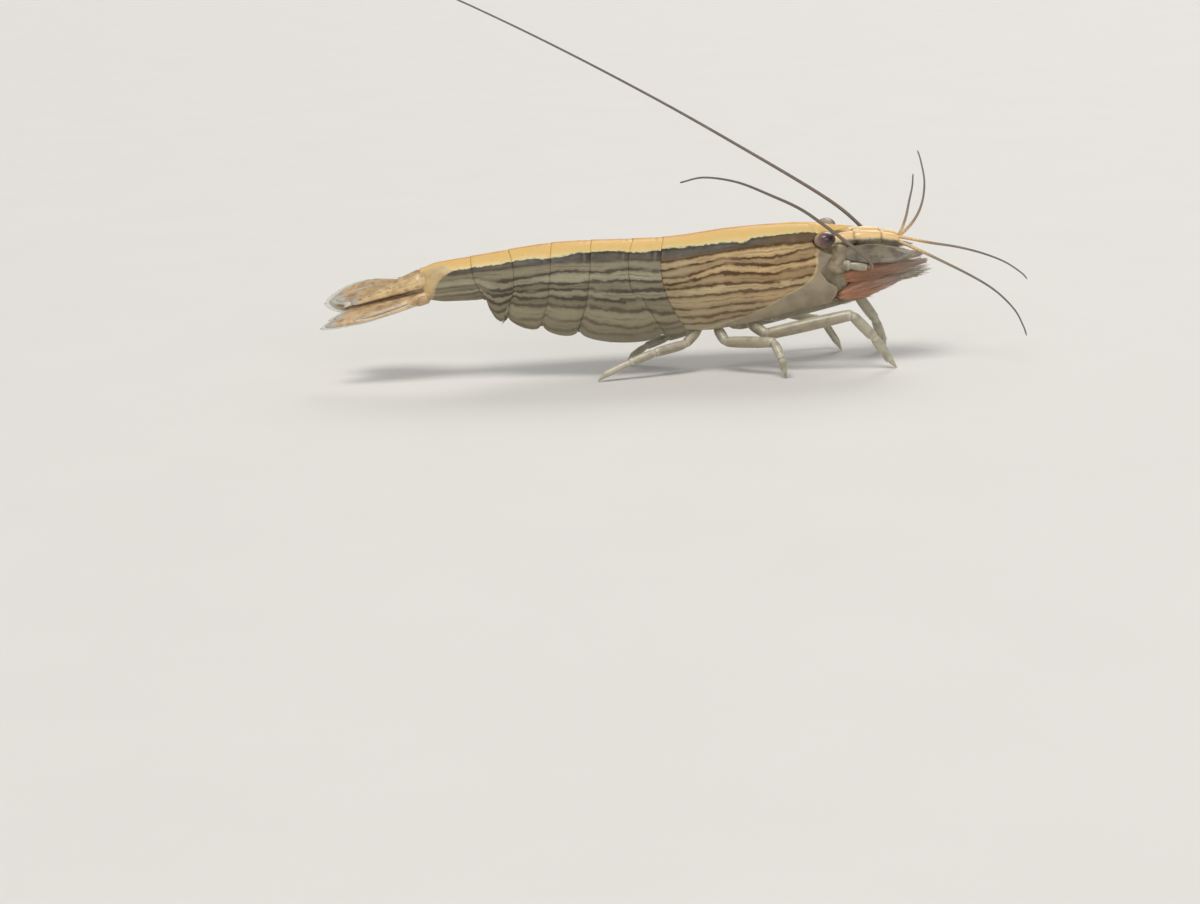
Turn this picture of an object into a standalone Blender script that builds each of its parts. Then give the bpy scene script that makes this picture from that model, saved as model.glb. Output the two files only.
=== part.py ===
"""Bamboo shrimp, life size, standing on its six walking legs with its feeding fans folded.

Lengths are in millimetres and MM turns them into Blender's metres. X runs from tail to head, Y to the
animal's left and Z up from the floor. Body pieces are drawn upright and symmetrical about Y = 0, and
are then leaned to the right by BODY_ROLL, the tail fan by TAIL_ROLL. Legs and feelers are drawn where
they stand, because each of them is posed on its own.
"""

import math

import bmesh
import bpy
from mathutils import Matrix, Vector

MM = 0.001
GAP = 0.15  # clear space between one solid and the next
SEAM_GAP = 0.3  # the same between two plates of the body, along X

# ---- Posture ----------------------------------------------------------------------------------------
BODY_ROLL = math.radians(4.0)
TAIL_ROLL = math.radians(20.0)
ROLL_HEIGHT = 10.0  # height of the line along the body about which it leans

# ---- Body outline, as (x, value) points of smooth curves ------------------------------------------------
BACK_HEIGHT = ((-26.4, 12.7), (-20.4, 13.5), (-11.6, 14.55), (0.4, 14.62), (7.2, 15.3), (13.7, 15.55), (18.0, 15.3))
HALF_WIDTH = ((-26.4, 1.75), (-20.4, 2.5), (-11.6, 3.75), (-3.0, 4.15), (4.0, 4.3), (11.0, 4.0), (18.6, 3.05))
CARAPACE_EDGE = ((2.4, 5.1), (4.8, 5.05), (7.8, 5.35), (11.0, 5.95), (14.3, 6.6), (18.6, 7.35))
TROUGH_DEPTH = ((-26.4, 0.3), (-20.4, 0.5), (-17.0, 1.7), (-11.6, 2.1), (0.0, 2.2), (18.6, 2.3))
WRAP = math.radians(130.0)  # angle from the midline of the back round to the lower edge of a plate
EDGE_WALL = 0.5  # thickness of a plate at its lower edge
SIDE_STEPS = 8  # faces from the back to the lower edge on each side

# ---- Plates of the body -------------------------------------------------------------------------------
# Front margin of the carapace as (share of the wrap, x): back, eye socket, spine, cheek, lower corner
CARAPACE_FRONT = (
    (0.0, 16.4),
    (0.25, 15.8),
    (0.375, 15.25),
    (0.5, 17.4),
    (0.625, 17.3),
    (0.75, 18.1),
    (0.875, 18.6),
    (1.0, 17.9),
)
# Seams between plates: x on the back, x at the side hinge, x at the lower edge, height of that edge
SEAMS = (
    (0.4, 0.1, 2.4, 5.1),
    (-2.8, -3.4, -0.6, 4.9),
    (-7.3, -7.8, -9.4, 5.4),
    (-11.6, -12.0, -13.4, 6.1),
    (-16.3, -15.8, -17.2, 7.3),
    (-20.4, -20.1, -19.3, 9.1),
    (-26.4, -26.2, -25.6, 9.0),
)
HINGE_SHARE = 0.55
FLAP_DROP = (0.35, 1.1, 0.75, 0.8, 1.3, 0.0)  # how far each side flap hangs below its two corners
SPINE_SHARE = 0.5
ROSTRUM_ROOT_X = 12.6
ROSTRUM_TIP = (20.5, 15.0)
ROSTRUM_HALF_WIDTH = 0.62

# ---- Head ---------------------------------------------------------------------------------------------
HEAD_FRONT_X = 18.6
HEAD_CENTRE_Z = 10.7
EYE_RIGHT = (17.05, -3.2, 14.3)
EYE_LEFT = (17.75, 3.2, 14.3)
EYE_RADIUS = 1.15
STALK_ROOT = (16.5, 1.3, 14.1)
STALK_RADII = (0.48, 0.52, 0.62)
ANTENNULE_BASE = ((17.75, 0.98, 13.45), (20.4, 0.98, 13.9), (23.3, 0.95, 13.8), (25.2, 0.9, 13.4))
ANTENNULE_BASE_RADII = (0.8, 0.74, 0.6)
ANTENNA_BASE = ((18.45, 2.7, 11.4), (19.8, 2.95, 11.3), (21.6, 3.2, 11.05))
ANTENNA_BASE_RADII = (0.78, 0.47)
SCALE_ROOT = (18.9, 2.55, 12.75)
SCALE_TIP = (27.0, 2.75, 12.1)
SCALE_HALF_WIDTH = 1.25
SCALE_TILT = math.radians(42.0)

# ---- Mouth and folded fans ----------------------------------------------------------------------------
MAXILLIPED = (
    (14.6, 0.5, 7.1),
    (16.4, 0.55, 6.95),
    (19.6, 0.85, 7.1),
    (23.2, 0.9, 8.45),
    (24.9, 0.85, 9.2),
    (28.0, 0.8, 9.75),
)
MAXILLIPED_RADII = (0.42, 0.42, 0.48, 0.42, 0.3)
FAN_ARM_1 = ((13.3, 0.55, 8.0), (14.6, 0.55, 8.1), (18.7, 0.85, 8.75), (19.4, 1.75, 9.8))
FAN_ARM_2 = ((11.3, 1.2, 7.45), (12.6, 1.3, 7.45), (18.5, 1.3, 7.8), (19.1, 2.2, 7.9))
FAN_ARM_RADII = (0.34, 0.34, 0.36)
FAN_1_TIP = (28.0, 1.75, 11.2)
FAN_2_TIP = (25.2, 2.2, 9.6)
FAN_RADII = (0.74, 0.82)

# ---- Walking legs: joints from the coxa to the sole, and the radius of each segment -----------------------
LEG_3_RIGHT = (
    (9.2, -1.3, 6.6),
    (9.0, -1.75, 5.0),
    (10.6, -3.4, 4.1),
    (19.6, -4.9, 6.1),
    (21.9, -4.8, 3.6),
    (23.7, -4.6, 0.9),
    (24.4, -4.55, 0.0),
)
LEG_4_RIGHT = (
    (6.1, -1.3, 6.3),
    (5.4, -1.75, 4.7),
    (6.2, -3.1, 3.4),
    (11.2, -6.0, 3.7),
    (11.8, -7.6, 2.3),
    (12.1, -7.2, 0.85),
    (12.3, -7.0, 0.0),
)
LEG_5_RIGHT = (
    (4.0, -1.3, 6.3),
    (3.4, -1.85, 4.7),
    (1.9, -2.8, 3.3),
    (-1.4, -3.7, 2.7),
    (-4.2, -4.2, 1.85),
    (-7.0, -4.7, 0.7),
    (-7.7, -4.8, 0.0),
)
LEG_3_LEFT = (
    (9.2, 1.7, 7.0),
    (9.5, 2.2, 5.3),
    (11.8, 3.1, 4.8),
    (21.3, 4.7, 6.5),
    (23.3, 5.3, 3.6),
    (24.2, 5.5, 0.9),
    (24.5, 5.5, 0.0),
)
LEG_4_LEFT = (
    (6.4, 1.7, 6.7),
    (6.6, 2.2, 4.9),
    (7.8, 3.4, 3.9),
    (13.6, 6.0, 4.4),
    (17.6, 6.6, 3.5),
    (19.2, 5.9, 0.9),
    (19.6, 5.7, 0.0),
)
LEG_5_LEFT = (
    (4.0, 1.7, 6.6),
    (3.8, 2.2, 4.9),
    (2.6, 3.0, 3.7),
    (0.2, 3.6, 2.9),
    (-2.2, 4.0, 1.9),
    (-3.8, 4.3, 0.8),
    (-4.4, 4.4, 0.0),
)
LEG_3_RADII = (0.64, 0.6, 0.7, 0.6, 0.53, 0.36)
LEG_4_RADII = (0.62, 0.58, 0.62, 0.5, 0.42, 0.33)
LEG_5_RADII = (0.6, 0.56, 0.54, 0.47, 0.38, 0.32)
SOLE_RADIUS = 0.27
SOLE_CLEARANCE = 0.03  # how far the last full ring of a leg stays above the floor

# ---- Feelers: points of smooth curves, and radii at the root and the tip --------------------------------------
FEELER_TIP_RADIUS = 0.25
ANTENNULE_RADIUS = 0.3
ANTENNA_RADIUS = 0.32
ANTENNULE_OUTER_RIGHT = (
    (25.6, -1.35, 13.0),
    (28.3, -2.1, 11.7),
    (32.5, -3.2, 9.5),
    (35.1, -4.0, 7.8),
    (37.0, -4.7, 5.8),
    (37.9, -5.0, 4.0),
    (38.2, -5.2, 3.0),
)
ANTENNULE_INNER_RIGHT = (
    (25.65, -0.75, 13.5),
    (28.6, -0.8, 12.8),
    (31.6, -0.9, 12.2),
    (34.3, -1.1, 11.4),
    (36.6, -1.3, 10.4),
    (38.3, -1.6, 9.2),
    (38.9, -1.8, 8.5),
)
ANTENNULE_OUTER_LEFT = (
    (25.55, 1.3, 13.3),
    (27.2, 2.0, 14.7),
    (28.4, 3.6, 16.4),
    (29.0, 5.6, 18.5),
    (28.9, 7.6, 20.6),
    (28.7, 8.6, 21.6),
)
ANTENNULE_INNER_LEFT = (
    (25.65, 0.65, 13.9),
    (26.3, 1.0, 15.4),
    (26.8, 1.9, 17.0),
    (27.3, 3.0, 18.4),
    (27.6, 4.4, 19.6),
)
ANTENNA_RIGHT = (
    (22.0, -3.75, 10.95),
    (21.4, -4.5, 12.0),
    (18.85, -4.9, 14.2),
    (16.7, -5.5, 16.0),
    (14.2, -6.8, 17.95),
    (10.9, -9.8, 19.95),
    (7.2, -15.6, 22.2),
    (3.6, -21.4, 23.6),
    (1.0, -26.6, 23.9),
)
ANTENNA_LEFT = (
    (21.95, 3.5, 11.3),
    (22.6, 4.4, 12.55),
    (21.6, 4.6, 14.3),
    (17.7, 4.9, 17.6),
    (8.0, 6.3, 23.8),
    (-0.7, 8.4, 29.0),
    (-10.9, 11.6, 34.6),
    (-20.5, 15.2, 39.4),
    (-29.5, 19.2, 43.4),
)

# ---- Tail fan: root, tip, greatest half width, tilt about its length -----------------------------------------
TELSON_ROOT = (-26.75, 0.0, 11.55)
TELSON_TIP = (-34.2, 0.0, 8.7)
TELSON_HALF_WIDTHS = (1.5, 0.7)
TELSON_HALF_DEPTHS = (0.95, 0.3)
ENDOPOD_ROOT = (-26.35, 1.15, 9.9)
ENDOPOD_TIP = (-36.5, 1.65, 8.0)
ENDOPOD_HALF_WIDTH = 1.25
EXOPOD_ROOT = (-26.0, 1.75, 9.1)
EXOPOD_TIP = (-37.4, 2.5, 7.2)
EXOPOD_HALF_WIDTH = 1.95
BLADE_HALF_DEPTH = 0.26
BLADE_CUP = math.radians(13.0)

# ---- Swimmerets ---------------------------------------------------------------------------------------
SWIMMERET_ROOTS = ((0.2, 6.3), (-4.0, 5.7), (-9.0, 6.5), (-13.2, 7.1), (-16.8, 7.15))
SWIMMERET_YS = (1.2, 1.25, 1.2, 1.1, 0.8)
SWIMMERET_HALF_WIDTH = 0.26  # as a share of the length, at its broadest
SWIMMERET_LENGTHS = (2.2, 2.9, 2.7, 2.2, 1.4)
SWIMMERET_LEAN = math.radians(48.0)

COLOURS = {
    "shell": ((0.40, 0.36, 0.27, 1.0), 0.45),
    "tail": ((0.50, 0.40, 0.25, 1.0), 0.5),
    "limb": ((0.42, 0.42, 0.36, 1.0), 0.4),
    "feeler": ((0.28, 0.22, 0.17, 1.0), 0.5),
    "eye": ((0.03, 0.02, 0.03, 1.0), 0.15),
    "fan": ((0.36, 0.13, 0.07, 1.0), 0.6),
}


# ---- Tools --------------------------------------------------------------------------------------------
def smooth(points):
    """The value of a Catmull-Rom curve through (x, value) points, as a function of x."""
    knots = sorted(points)

    def slope(i):
        before, after = knots[max(i - 1, 0)], knots[min(i + 1, len(knots) - 1)]
        return (after[1] - before[1]) / (after[0] - before[0])

    def value(x):
        x = min(max(x, knots[0][0]), knots[-1][0])
        i = next(k for k in range(len(knots) - 1) if x <= knots[k + 1][0])
        (x0, v0), (x1, v1) = knots[i], knots[i + 1]
        span = x1 - x0
        t = (x - x0) / span
        return (
            v0 * (1 + 2 * t) * (1 - t) ** 2
            + slope(i) * span * t * (1 - t) ** 2
            + v1 * t * t * (3 - 2 * t)
            + slope(i + 1) * span * t * t * (t - 1)
        )

    return value


back_height = smooth(BACK_HEIGHT)
half_width = smooth(HALF_WIDTH)
carapace_edge = smooth(CARAPACE_EDGE)
trough_depth = smooth(TROUGH_DEPTH)
carapace_front = smooth(CARAPACE_FRONT)


def lean(roll):
    """The turn about the body's long line that leans a piece to the right."""
    pivot = Vector((0, 0, ROLL_HEIGHT))
    return Matrix.Translation(pivot) @ Matrix.Rotation(roll, 4, "X") @ Matrix.Translation(-pivot)


def mirrored(points, side):
    """Points given for the left side, put on the side whose sign is given."""
    return [Vector((x, y * side, z)) for x, y, z in points]


def material(name):
    """The plain finish of that name."""
    if name in bpy.data.materials:
        return bpy.data.materials[name]
    colour, roughness = COLOURS[name]
    made = bpy.data.materials.new(name)
    made.use_nodes = True
    shader = made.node_tree.nodes["Principled BSDF"]
    shader.inputs["Base Color"].default_value = colour
    shader.inputs["Roughness"].default_value = roughness
    shader.inputs["Metallic"].default_value = 0.0
    made.diffuse_color = colour
    return made


def add(name, bm, finish, frame=None):
    """Turns a closed bmesh in millimetres into an object in metres."""
    bmesh.ops.recalc_face_normals(bm, faces=bm.faces)
    mesh = bpy.data.meshes.new(name)
    bmesh.ops.transform(bm, matrix=Matrix.Scale(MM, 4) @ (frame or Matrix.Identity(4)), verts=bm.verts)
    bm.to_mesh(mesh)
    bm.free()
    mesh.shade_smooth()
    made = bpy.data.objects.new(name, mesh)
    made.data.materials.append(material(finish))
    bpy.context.collection.objects.link(made)
    return made


def loft(rings):
    """A closed bmesh through rings of equally many points, capped at both ends."""
    bm = bmesh.new()
    rows = [[bm.verts.new(p) for p in ring] for ring in rings]
    count = len(rows[0])
    for near, far in zip(rows, rows[1:]):
        for k in range(count):
            bm.faces.new((near[k], near[(k + 1) % count], far[(k + 1) % count], far[k]))
    bm.faces.new(rows[0][::-1])
    bm.faces.new(rows[-1])
    return bm


def ring_frames(path, up):
    """A side and an up direction, square to the path, at each of its points."""
    frames = []
    for i, point in enumerate(path):
        ahead = (path[min(i + 1, len(path) - 1)] - point).normalized()
        behind = (point - path[max(i - 1, 0)]).normalized()
        along = (ahead + behind).normalized()
        up = (up - along * up.dot(along)).normalized()
        frames.append((up.cross(along), up))
    return frames


def sweep(path, half_widths, half_depths, up=Vector((0, 0, 1)), sides=8):
    """Rings of an ellipse along a path: half_widths lie across, half_depths along up."""
    rings = []
    for point, (side, top), wide, deep in zip(path, ring_frames(path, up), half_widths, half_depths):
        turns = [math.tau * k / sides for k in range(sides)]
        rings.append([point + side * (wide * math.cos(a)) + top * (deep * math.sin(a)) for a in turns])
    return rings


def bend_of(joints, i):
    """The angle by which a chain of joints turns at joint i."""
    if i in (0, len(joints) - 1):
        return 0.0
    return (joints[i] - joints[i - 1]).angle(joints[i + 1] - joints[i])


def limb_path(joints, radii):
    """Points and radii along a jointed limb: each segment is waisted at its start and fullest near its end."""
    path, sizes = [joints[0]], [radii[0] * 0.9]
    for i, radius in enumerate(radii):
        start, end = joints[i], joints[i + 1]
        length = (end - start).length
        along = (end - start) / length
        first = max(0.16 * length, 1.2 * radius * math.tan(bend_of(joints, i) / 2))
        last = max(0.12 * length, 1.2 * radius * math.tan(bend_of(joints, i + 1) / 2))
        path.append(start + along * first)
        sizes.append(radius * 0.88)
        if length > 2.2:
            path.append(start + along * (first + length - last) / 2)
            sizes.append(radius)
        path.append(end - along * last)
        sizes.append(radius * 0.98)
        if i + 1 < len(radii):
            path.append(end)
            sizes.append(0.8 * (radius + radii[i + 1]) / 2)
    path.append(joints[-1])
    sizes.append(radii[-1] * 0.75)
    return path, sizes


def curve_points(points, count):
    """Evenly numbered points on a smooth curve through a few given ones."""
    axes = [smooth([(i, p[axis]) for i, p in enumerate(points)]) for axis in range(3)]
    places = [(len(points) - 1) * k / (count - 1) for k in range(count)]
    return [Vector([axis(t) for axis in axes]) for t in places]


# ---- Body plates ----------------------------------------------------------------------------------------
def arch_point(x, share, low):
    """A point on the outside of the body: share runs from -1 to 1, edge to edge over the back."""
    turn = abs(share) * WRAP
    rise = (back_height(x) - low) / (1 - math.cos(WRAP))
    y = half_width(x) * math.sin(turn) * math.copysign(1, share)
    return Vector((x, y, back_height(x) - rise * (1 - math.cos(turn))))


def trough_point(x, share, low):
    """A point on the hollow underside, between the lower edges."""
    wide = half_width(x) * math.sin(WRAP) - EDGE_WALL
    quarter = abs(share) * math.pi / 2
    y = wide * math.sin(quarter) ** 0.7 * math.copysign(1, share)
    return Vector((x, y, low + trough_depth(x) * max(math.cos(quarter), 0.0) ** 0.5))


def arch_loft(outer, inner):
    """A closed bmesh between rows of outer points and rows of inner points, with ruled ends."""
    width = len(outer[0])
    bm = bmesh.new()
    rows = [[bm.verts.new(p) for p in out + under[::-1]] for out, under in zip(outer, inner)]
    count = 2 * width
    for near, far in zip(rows, rows[1:]):
        for k in range(count):
            bm.faces.new((near[k], near[(k + 1) % count], far[(k + 1) % count], far[k]))
    for row in (rows[0], rows[-1]):
        for k in range(width - 1):
            bm.faces.new((row[k], row[k + 1], row[count - 2 - k], row[count - 1 - k]))
    bmesh.ops.triangulate(bm, faces=bm.faces, quad_method="FIXED")
    return bm


def plate(name, front, rear, low, steps):
    """A body plate: front(share) and rear(share) give its end margins, low(step, x) its lower edge."""
    shares = [k / SIDE_STEPS for k in range(-SIDE_STEPS, SIDE_STEPS + 1)]
    outer, inner = [], []
    for step in steps:
        xs = [front(abs(u)) + (rear(abs(u)) - front(abs(u))) * step for u in shares]
        outer.append([arch_point(x, u, low(step, x)) for x, u in zip(xs, shares)])
        inner.append([trough_point(x, u, low(step, x)) for x, u in zip(xs, shares)])
    return add(name, arch_loft(outer, inner), "shell", lean(BODY_ROLL))


def seam(index, shift=0.0):
    """The line of a seam round the body, moved by shift, as x for each share of the wrap."""
    back, hinge, edge, _ = SEAMS[index]
    line = smooth([(0.0, back), (HINGE_SHARE, hinge), (1.0, edge)])
    return lambda share: line(share) + shift


def make_rostrum():
    """The pointed beak that grows out of the midline of the carapace."""
    stations = 7
    rings = []
    for k in range(stations):
        share = k / (stations - 1)
        x = ROSTRUM_ROOT_X + (ROSTRUM_TIP[0] - ROSTRUM_ROOT_X) * share
        top = min(back_height(x) + 0.12 * math.sin(math.pi * share), 15.62) * (1 - share) + ROSTRUM_TIP[1] * share
        deep = 0.95 * (1 - share) ** 0.8 + 0.06
        wide = ROSTRUM_HALF_WIDTH * (1 - share) ** 0.7 + 0.05
        middle = max(top - deep / 2, 14.98 if x > 16 else 0.0)
        turns = [math.tau * j / 8 for j in range(8)]
        rings.append([Vector((x, wide * math.cos(a), middle + (top - middle) * math.sin(a))) for a in turns])
    return add("rostrum_cutter", loft(rings), "shell", lean(BODY_ROLL))


def make_carapace():
    """The shield over head and thorax, hollow below where the legs come out, with its rostrum."""
    rear = seam(0, SEAM_GAP / 2)
    steps = (0.0, 0.1, 0.25, 0.4, 0.55, 0.7, 0.85, 1.0)
    shield = plate("carapace", carapace_front, rear, lambda step, x: carapace_edge(x), steps)
    rostrum = make_rostrum()
    rostrum.hide_render = True
    rostrum.display_type = "WIRE"
    joined = shield.modifiers.new("rostrum", "BOOLEAN")
    joined.operation = "UNION"
    joined.object = rostrum


def make_abdomen():
    """Six rings behind the carapace, the first five with side flaps that hang over the swimmerets."""
    for ring in range(6):
        (_, _, _, front_low), (_, _, _, rear_low) = SEAMS[ring], SEAMS[ring + 1]
        drop = FLAP_DROP[ring]

        def low(step, x, a=front_low, b=rear_low, d=drop):
            return a + (b - a) * step - d * math.sqrt(max(4 * step * (1 - step), 0.0))

        steps = (0.0, 0.14, 0.5, 0.86, 1.0)
        plate(f"abdomen_{ring + 1}", seam(ring, -SEAM_GAP / 2), seam(ring + 1, SEAM_GAP / 2), low, steps)


def make_head_core():
    """The flesh of the head that fills the open front of the carapace and carries the feeler bases."""
    shares = [k / 8 for k in range(-6, 7)]
    outer, inner = [], []
    for reach, scale in ((0.0, 1.0), (0.55, 0.8), (1.0, 0.45)):
        over, under = [], []
        for u in shares:
            x = carapace_front(abs(u))
            low = carapace_edge(x)
            top, roof = arch_point(x, u, low), trough_point(x, u, low)
            x = max(x, carapace_front(SPINE_SHARE)) if 0.3 < abs(u) < 0.6 else x
            for row, share in ((over, max(0.5 - 0.8 * abs(u), 0.14)), (under, 0.9)):
                point = top + (roof - top) * share
                front = x + 2.6 * GAP + (HEAD_FRONT_X - x - 2.6 * GAP) * reach
                row.append(Vector((front, point.y * scale, HEAD_CENTRE_Z + (point.z - HEAD_CENTRE_Z) * scale)))
        outer.append(over)
        inner.append(under)
    add("head", arch_loft(outer, inner), "limb", lean(BODY_ROLL))


# ---- Tail fan --------------------------------------------------------------------------------------------
def leaf(root, tip, half_wide, half_deep, tilt, stations=8, fullest=0.55):
    """A leaf-shaped blade with a rounded tip; tilt turns it about its length."""
    along = (tip - root).normalized()
    up = Matrix.Rotation(tilt, 3, along) @ Vector((0, 0, 1))
    path, wides, deeps = [], [], []
    for k in range(stations):
        share = 0.5 - 0.5 * math.cos(math.pi * (0.08 + 0.89 * k / (stations - 1)))
        outline = math.sin(math.pi * share ** (math.log(0.5) / math.log(fullest))) ** 0.62
        path.append(root + (tip - root) * share)
        wides.append(max(half_wide * outline, 0.26))
        deeps.append(half_deep)
    return sweep(path, wides, deeps, up)


def make_tail_fan():
    """The telson in the middle, and an inner and an outer blade on each side."""
    frame = lean(TAIL_ROLL)
    shares = (0.0, 0.15, 0.4, 0.7, 0.93, 1.0)
    root, tip = Vector(TELSON_ROOT), Vector(TELSON_TIP)
    path = [root + (tip - root) * s for s in shares]
    wides = [TELSON_HALF_WIDTHS[0] + (TELSON_HALF_WIDTHS[1] - TELSON_HALF_WIDTHS[0]) * s for s in shares]
    wides[-1] *= 0.7
    deeps = [TELSON_HALF_DEPTHS[0] + (TELSON_HALF_DEPTHS[1] - TELSON_HALF_DEPTHS[0]) * s ** 0.6 for s in shares]
    add("telson", loft(sweep(path, wides, deeps, sides=12)), "tail", frame)
    for side, word in ((-1, "right"), (1, "left")):
        blades = (
            ("tail_inner", ENDOPOD_ROOT, ENDOPOD_TIP, ENDOPOD_HALF_WIDTH),
            ("tail_outer", EXOPOD_ROOT, EXOPOD_TIP, EXOPOD_HALF_WIDTH),
        )
        for name, start, end, wide in blades:
            start, end = mirrored((start, end), side)
            rings = leaf(start, end, wide, BLADE_HALF_DEPTH, -BLADE_CUP * side)
            add(f"{name}_{word}", loft(rings), "tail", frame)


# ---- Head, mouth and fans ----------------------------------------------------------------------------------
def make_eye(side, word, place):
    """A round cornea on a short stalk that comes out beside the rostrum."""
    centre, root = Vector(place), mirrored((STALK_ROOT,), side)[0]
    out = (centre - root).normalized()
    bm = bmesh.new()
    bmesh.ops.create_uvsphere(bm, u_segments=12, v_segments=8, radius=EYE_RADIUS)
    bmesh.ops.transform(bm, matrix=Matrix.Translation(centre), verts=bm.verts)
    add(f"eye_{word}", bm, "eye", lean(BODY_ROLL))
    reach = (centre - root).length - EYE_RADIUS - GAP
    path = [root + out * (reach * s) for s in (0.0, 0.5, 1.0)]
    add(f"eyestalk_{word}", loft(sweep(path, STALK_RADII, STALK_RADII)), "limb", lean(BODY_ROLL))


def make_limb(name, joints, radii, finish="limb", frame=None, sides=8):
    """A jointed limb of round segments."""
    path, sizes = limb_path(joints, radii)
    return add(name, loft(sweep(path, sizes, sizes, sides=sides)), finish, frame)


def make_fan(name, root, tip, radius):
    """The folded bristles of one hand: a brush that swells and runs out to a point."""
    shares = (0.0, 0.12, 0.3, 0.5, 0.75, 0.92, 1.0)
    shape = (0.55, 0.9, 1.0, 0.92, 0.6, 0.42, 0.34)
    path = [root + (tip - root) * s for s in shares]
    sizes = [radius * s for s in shape]
    add(name, loft(sweep(path, sizes, sizes)), "fan", lean(BODY_ROLL))


def make_head():
    """Eyes, feeler bases, antennal scales, maxillipeds and the two pairs of fan arms."""
    frame = lean(BODY_ROLL)
    make_head_core()
    for side, word, eye in ((-1, "right", EYE_RIGHT), (1, "left", EYE_LEFT)):
        make_eye(side, word, eye)
        make_limb(f"antennule_base_{word}", mirrored(ANTENNULE_BASE, side), ANTENNULE_BASE_RADII, frame=frame)
        make_limb(f"antenna_base_{word}", mirrored(ANTENNA_BASE, side), ANTENNA_BASE_RADII, frame=frame)
        root, tip = mirrored((SCALE_ROOT, SCALE_TIP), side)
        rings = leaf(root, tip, SCALE_HALF_WIDTH, BLADE_HALF_DEPTH, -SCALE_TILT * side, fullest=0.45)
        add(f"antenna_scale_{word}", loft(rings), "limb", frame)
        make_limb(f"maxilliped_{word}", mirrored(MAXILLIPED, side), MAXILLIPED_RADII, frame=frame)
        fans = ((1, FAN_ARM_1, FAN_1_TIP, FAN_RADII[0]), (2, FAN_ARM_2, FAN_2_TIP, FAN_RADII[1]))
        for number, arm, end, radius in fans:
            joints = mirrored(arm, side)
            tip = mirrored((end,), side)[0]
            make_limb(f"fan_arm_{number}_{word}", joints, FAN_ARM_RADII, frame=frame)
            start = joints[-1] + (tip - joints[-1]).normalized() * 2.5 * GAP
            make_fan(f"fan_{number}_{word}", start, tip, radius)


# ---- Legs, feelers and swimmerets ----------------------------------------------------------------------------
def make_leg(name, joints, radii):
    """A walking leg that ends in a small flat sole on the floor."""
    joints = [Vector(j) for j in joints]
    path, sizes = limb_path(joints, radii)
    down = (joints[-1] - joints[-2]).normalized()
    slope = -down.z
    clear = (sizes[-2] * math.sqrt(1 - slope * slope) + SOLE_CLEARANCE) / slope
    path[-2] = joints[-1] - down * clear
    sizes[-1] = SOLE_RADIUS
    rings = sweep(path, sizes, sizes)
    rings[-1] = [p - down * (p.z / down.z) for p in rings[-1]]
    add(name, loft(rings), "limb")


def make_legs():
    """Three pairs of walking legs, numbered from the third pair as the first two carry the fans."""
    legs = (
        (3, "right", LEG_3_RIGHT, LEG_3_RADII),
        (4, "right", LEG_4_RIGHT, LEG_4_RADII),
        (5, "right", LEG_5_RIGHT, LEG_5_RADII),
        (3, "left", LEG_3_LEFT, LEG_3_RADII),
        (4, "left", LEG_4_LEFT, LEG_4_RADII),
        (5, "left", LEG_5_LEFT, LEG_5_RADII),
    )
    for number, word, joints, radii in legs:
        make_leg(f"leg_{number}_{word}", joints, radii)


def make_feeler(name, points, root_radius, count):
    """A whip of six sides that thins towards its tip."""
    path = curve_points(points, count)
    sizes = [root_radius + (FEELER_TIP_RADIUS - root_radius) * k / (count - 1) for k in range(count)]
    add(name, loft(sweep(path, sizes, sizes, sides=6)), "feeler")


def make_feelers():
    """Two whips from each antennule base, and the long antenna from each antenna base."""
    make_feeler("antennule_outer_right", ANTENNULE_OUTER_RIGHT, ANTENNULE_RADIUS, 14)
    make_feeler("antennule_inner_right", ANTENNULE_INNER_RIGHT, ANTENNULE_RADIUS, 14)
    make_feeler("antennule_outer_left", ANTENNULE_OUTER_LEFT, ANTENNULE_RADIUS, 12)
    make_feeler("antennule_inner_left", ANTENNULE_INNER_LEFT, ANTENNULE_RADIUS, 10)
    make_feeler("antenna_right", ANTENNA_RIGHT, ANTENNA_RADIUS, 26)
    make_feeler("antenna_left", ANTENNA_LEFT, ANTENNA_RADIUS, 28)


def make_swimmerets():
    """Five pairs of paddles that hang back from the trough of the abdomen."""
    pairs = zip(SWIMMERET_ROOTS, SWIMMERET_YS, SWIMMERET_LENGTHS)
    for number, ((x, z), y, length) in enumerate(pairs, start=1):
        broad = SWIMMERET_HALF_WIDTH * length
        for side, word in ((-1, "right"), (1, "left")):
            root = Vector((x, y * side, z))
            back = Vector((-math.sin(SWIMMERET_LEAN), 0, -math.cos(SWIMMERET_LEAN)))
            path = [root + back * (length * s) for s in (0.0, 0.3, 0.65, 1.0)]
            wides = [broad * s for s in (0.6, 0.7, 1.0, 0.6)]
            deeps = [0.4, 0.34, 0.27, 0.26]
            rings = sweep(path, wides, deeps, up=Vector((-1, 0, 1)), sides=6)
            add(f"swimmeret_{number}_{word}", loft(rings), "limb", lean(BODY_ROLL))


def centre_on_floor():
    """Moves everything so that the origin is under the middle of the whole model's box."""
    bpy.context.view_layer.update()
    shown = [o for o in bpy.context.scene.objects if o.type == "MESH"]
    corners = [o.matrix_world @ Vector(c) for o in shown for c in o.bound_box]
    middle = [(min(c[k] for c in corners) + max(c[k] for c in corners)) / 2 for k in (0, 1)]
    for made in shown:
        made.location -= Vector((middle[0], middle[1], 0))
    print("middle of the box, in mm:", [round(v / MM, 4) for v in middle])


def main():
    for old in list(bpy.data.objects):
        bpy.data.objects.remove(old, do_unlink=True)
    make_carapace()
    make_abdomen()
    make_tail_fan()
    make_head()
    make_legs()
    make_feelers()
    make_swimmerets()
    centre_on_floor()


main()
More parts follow.
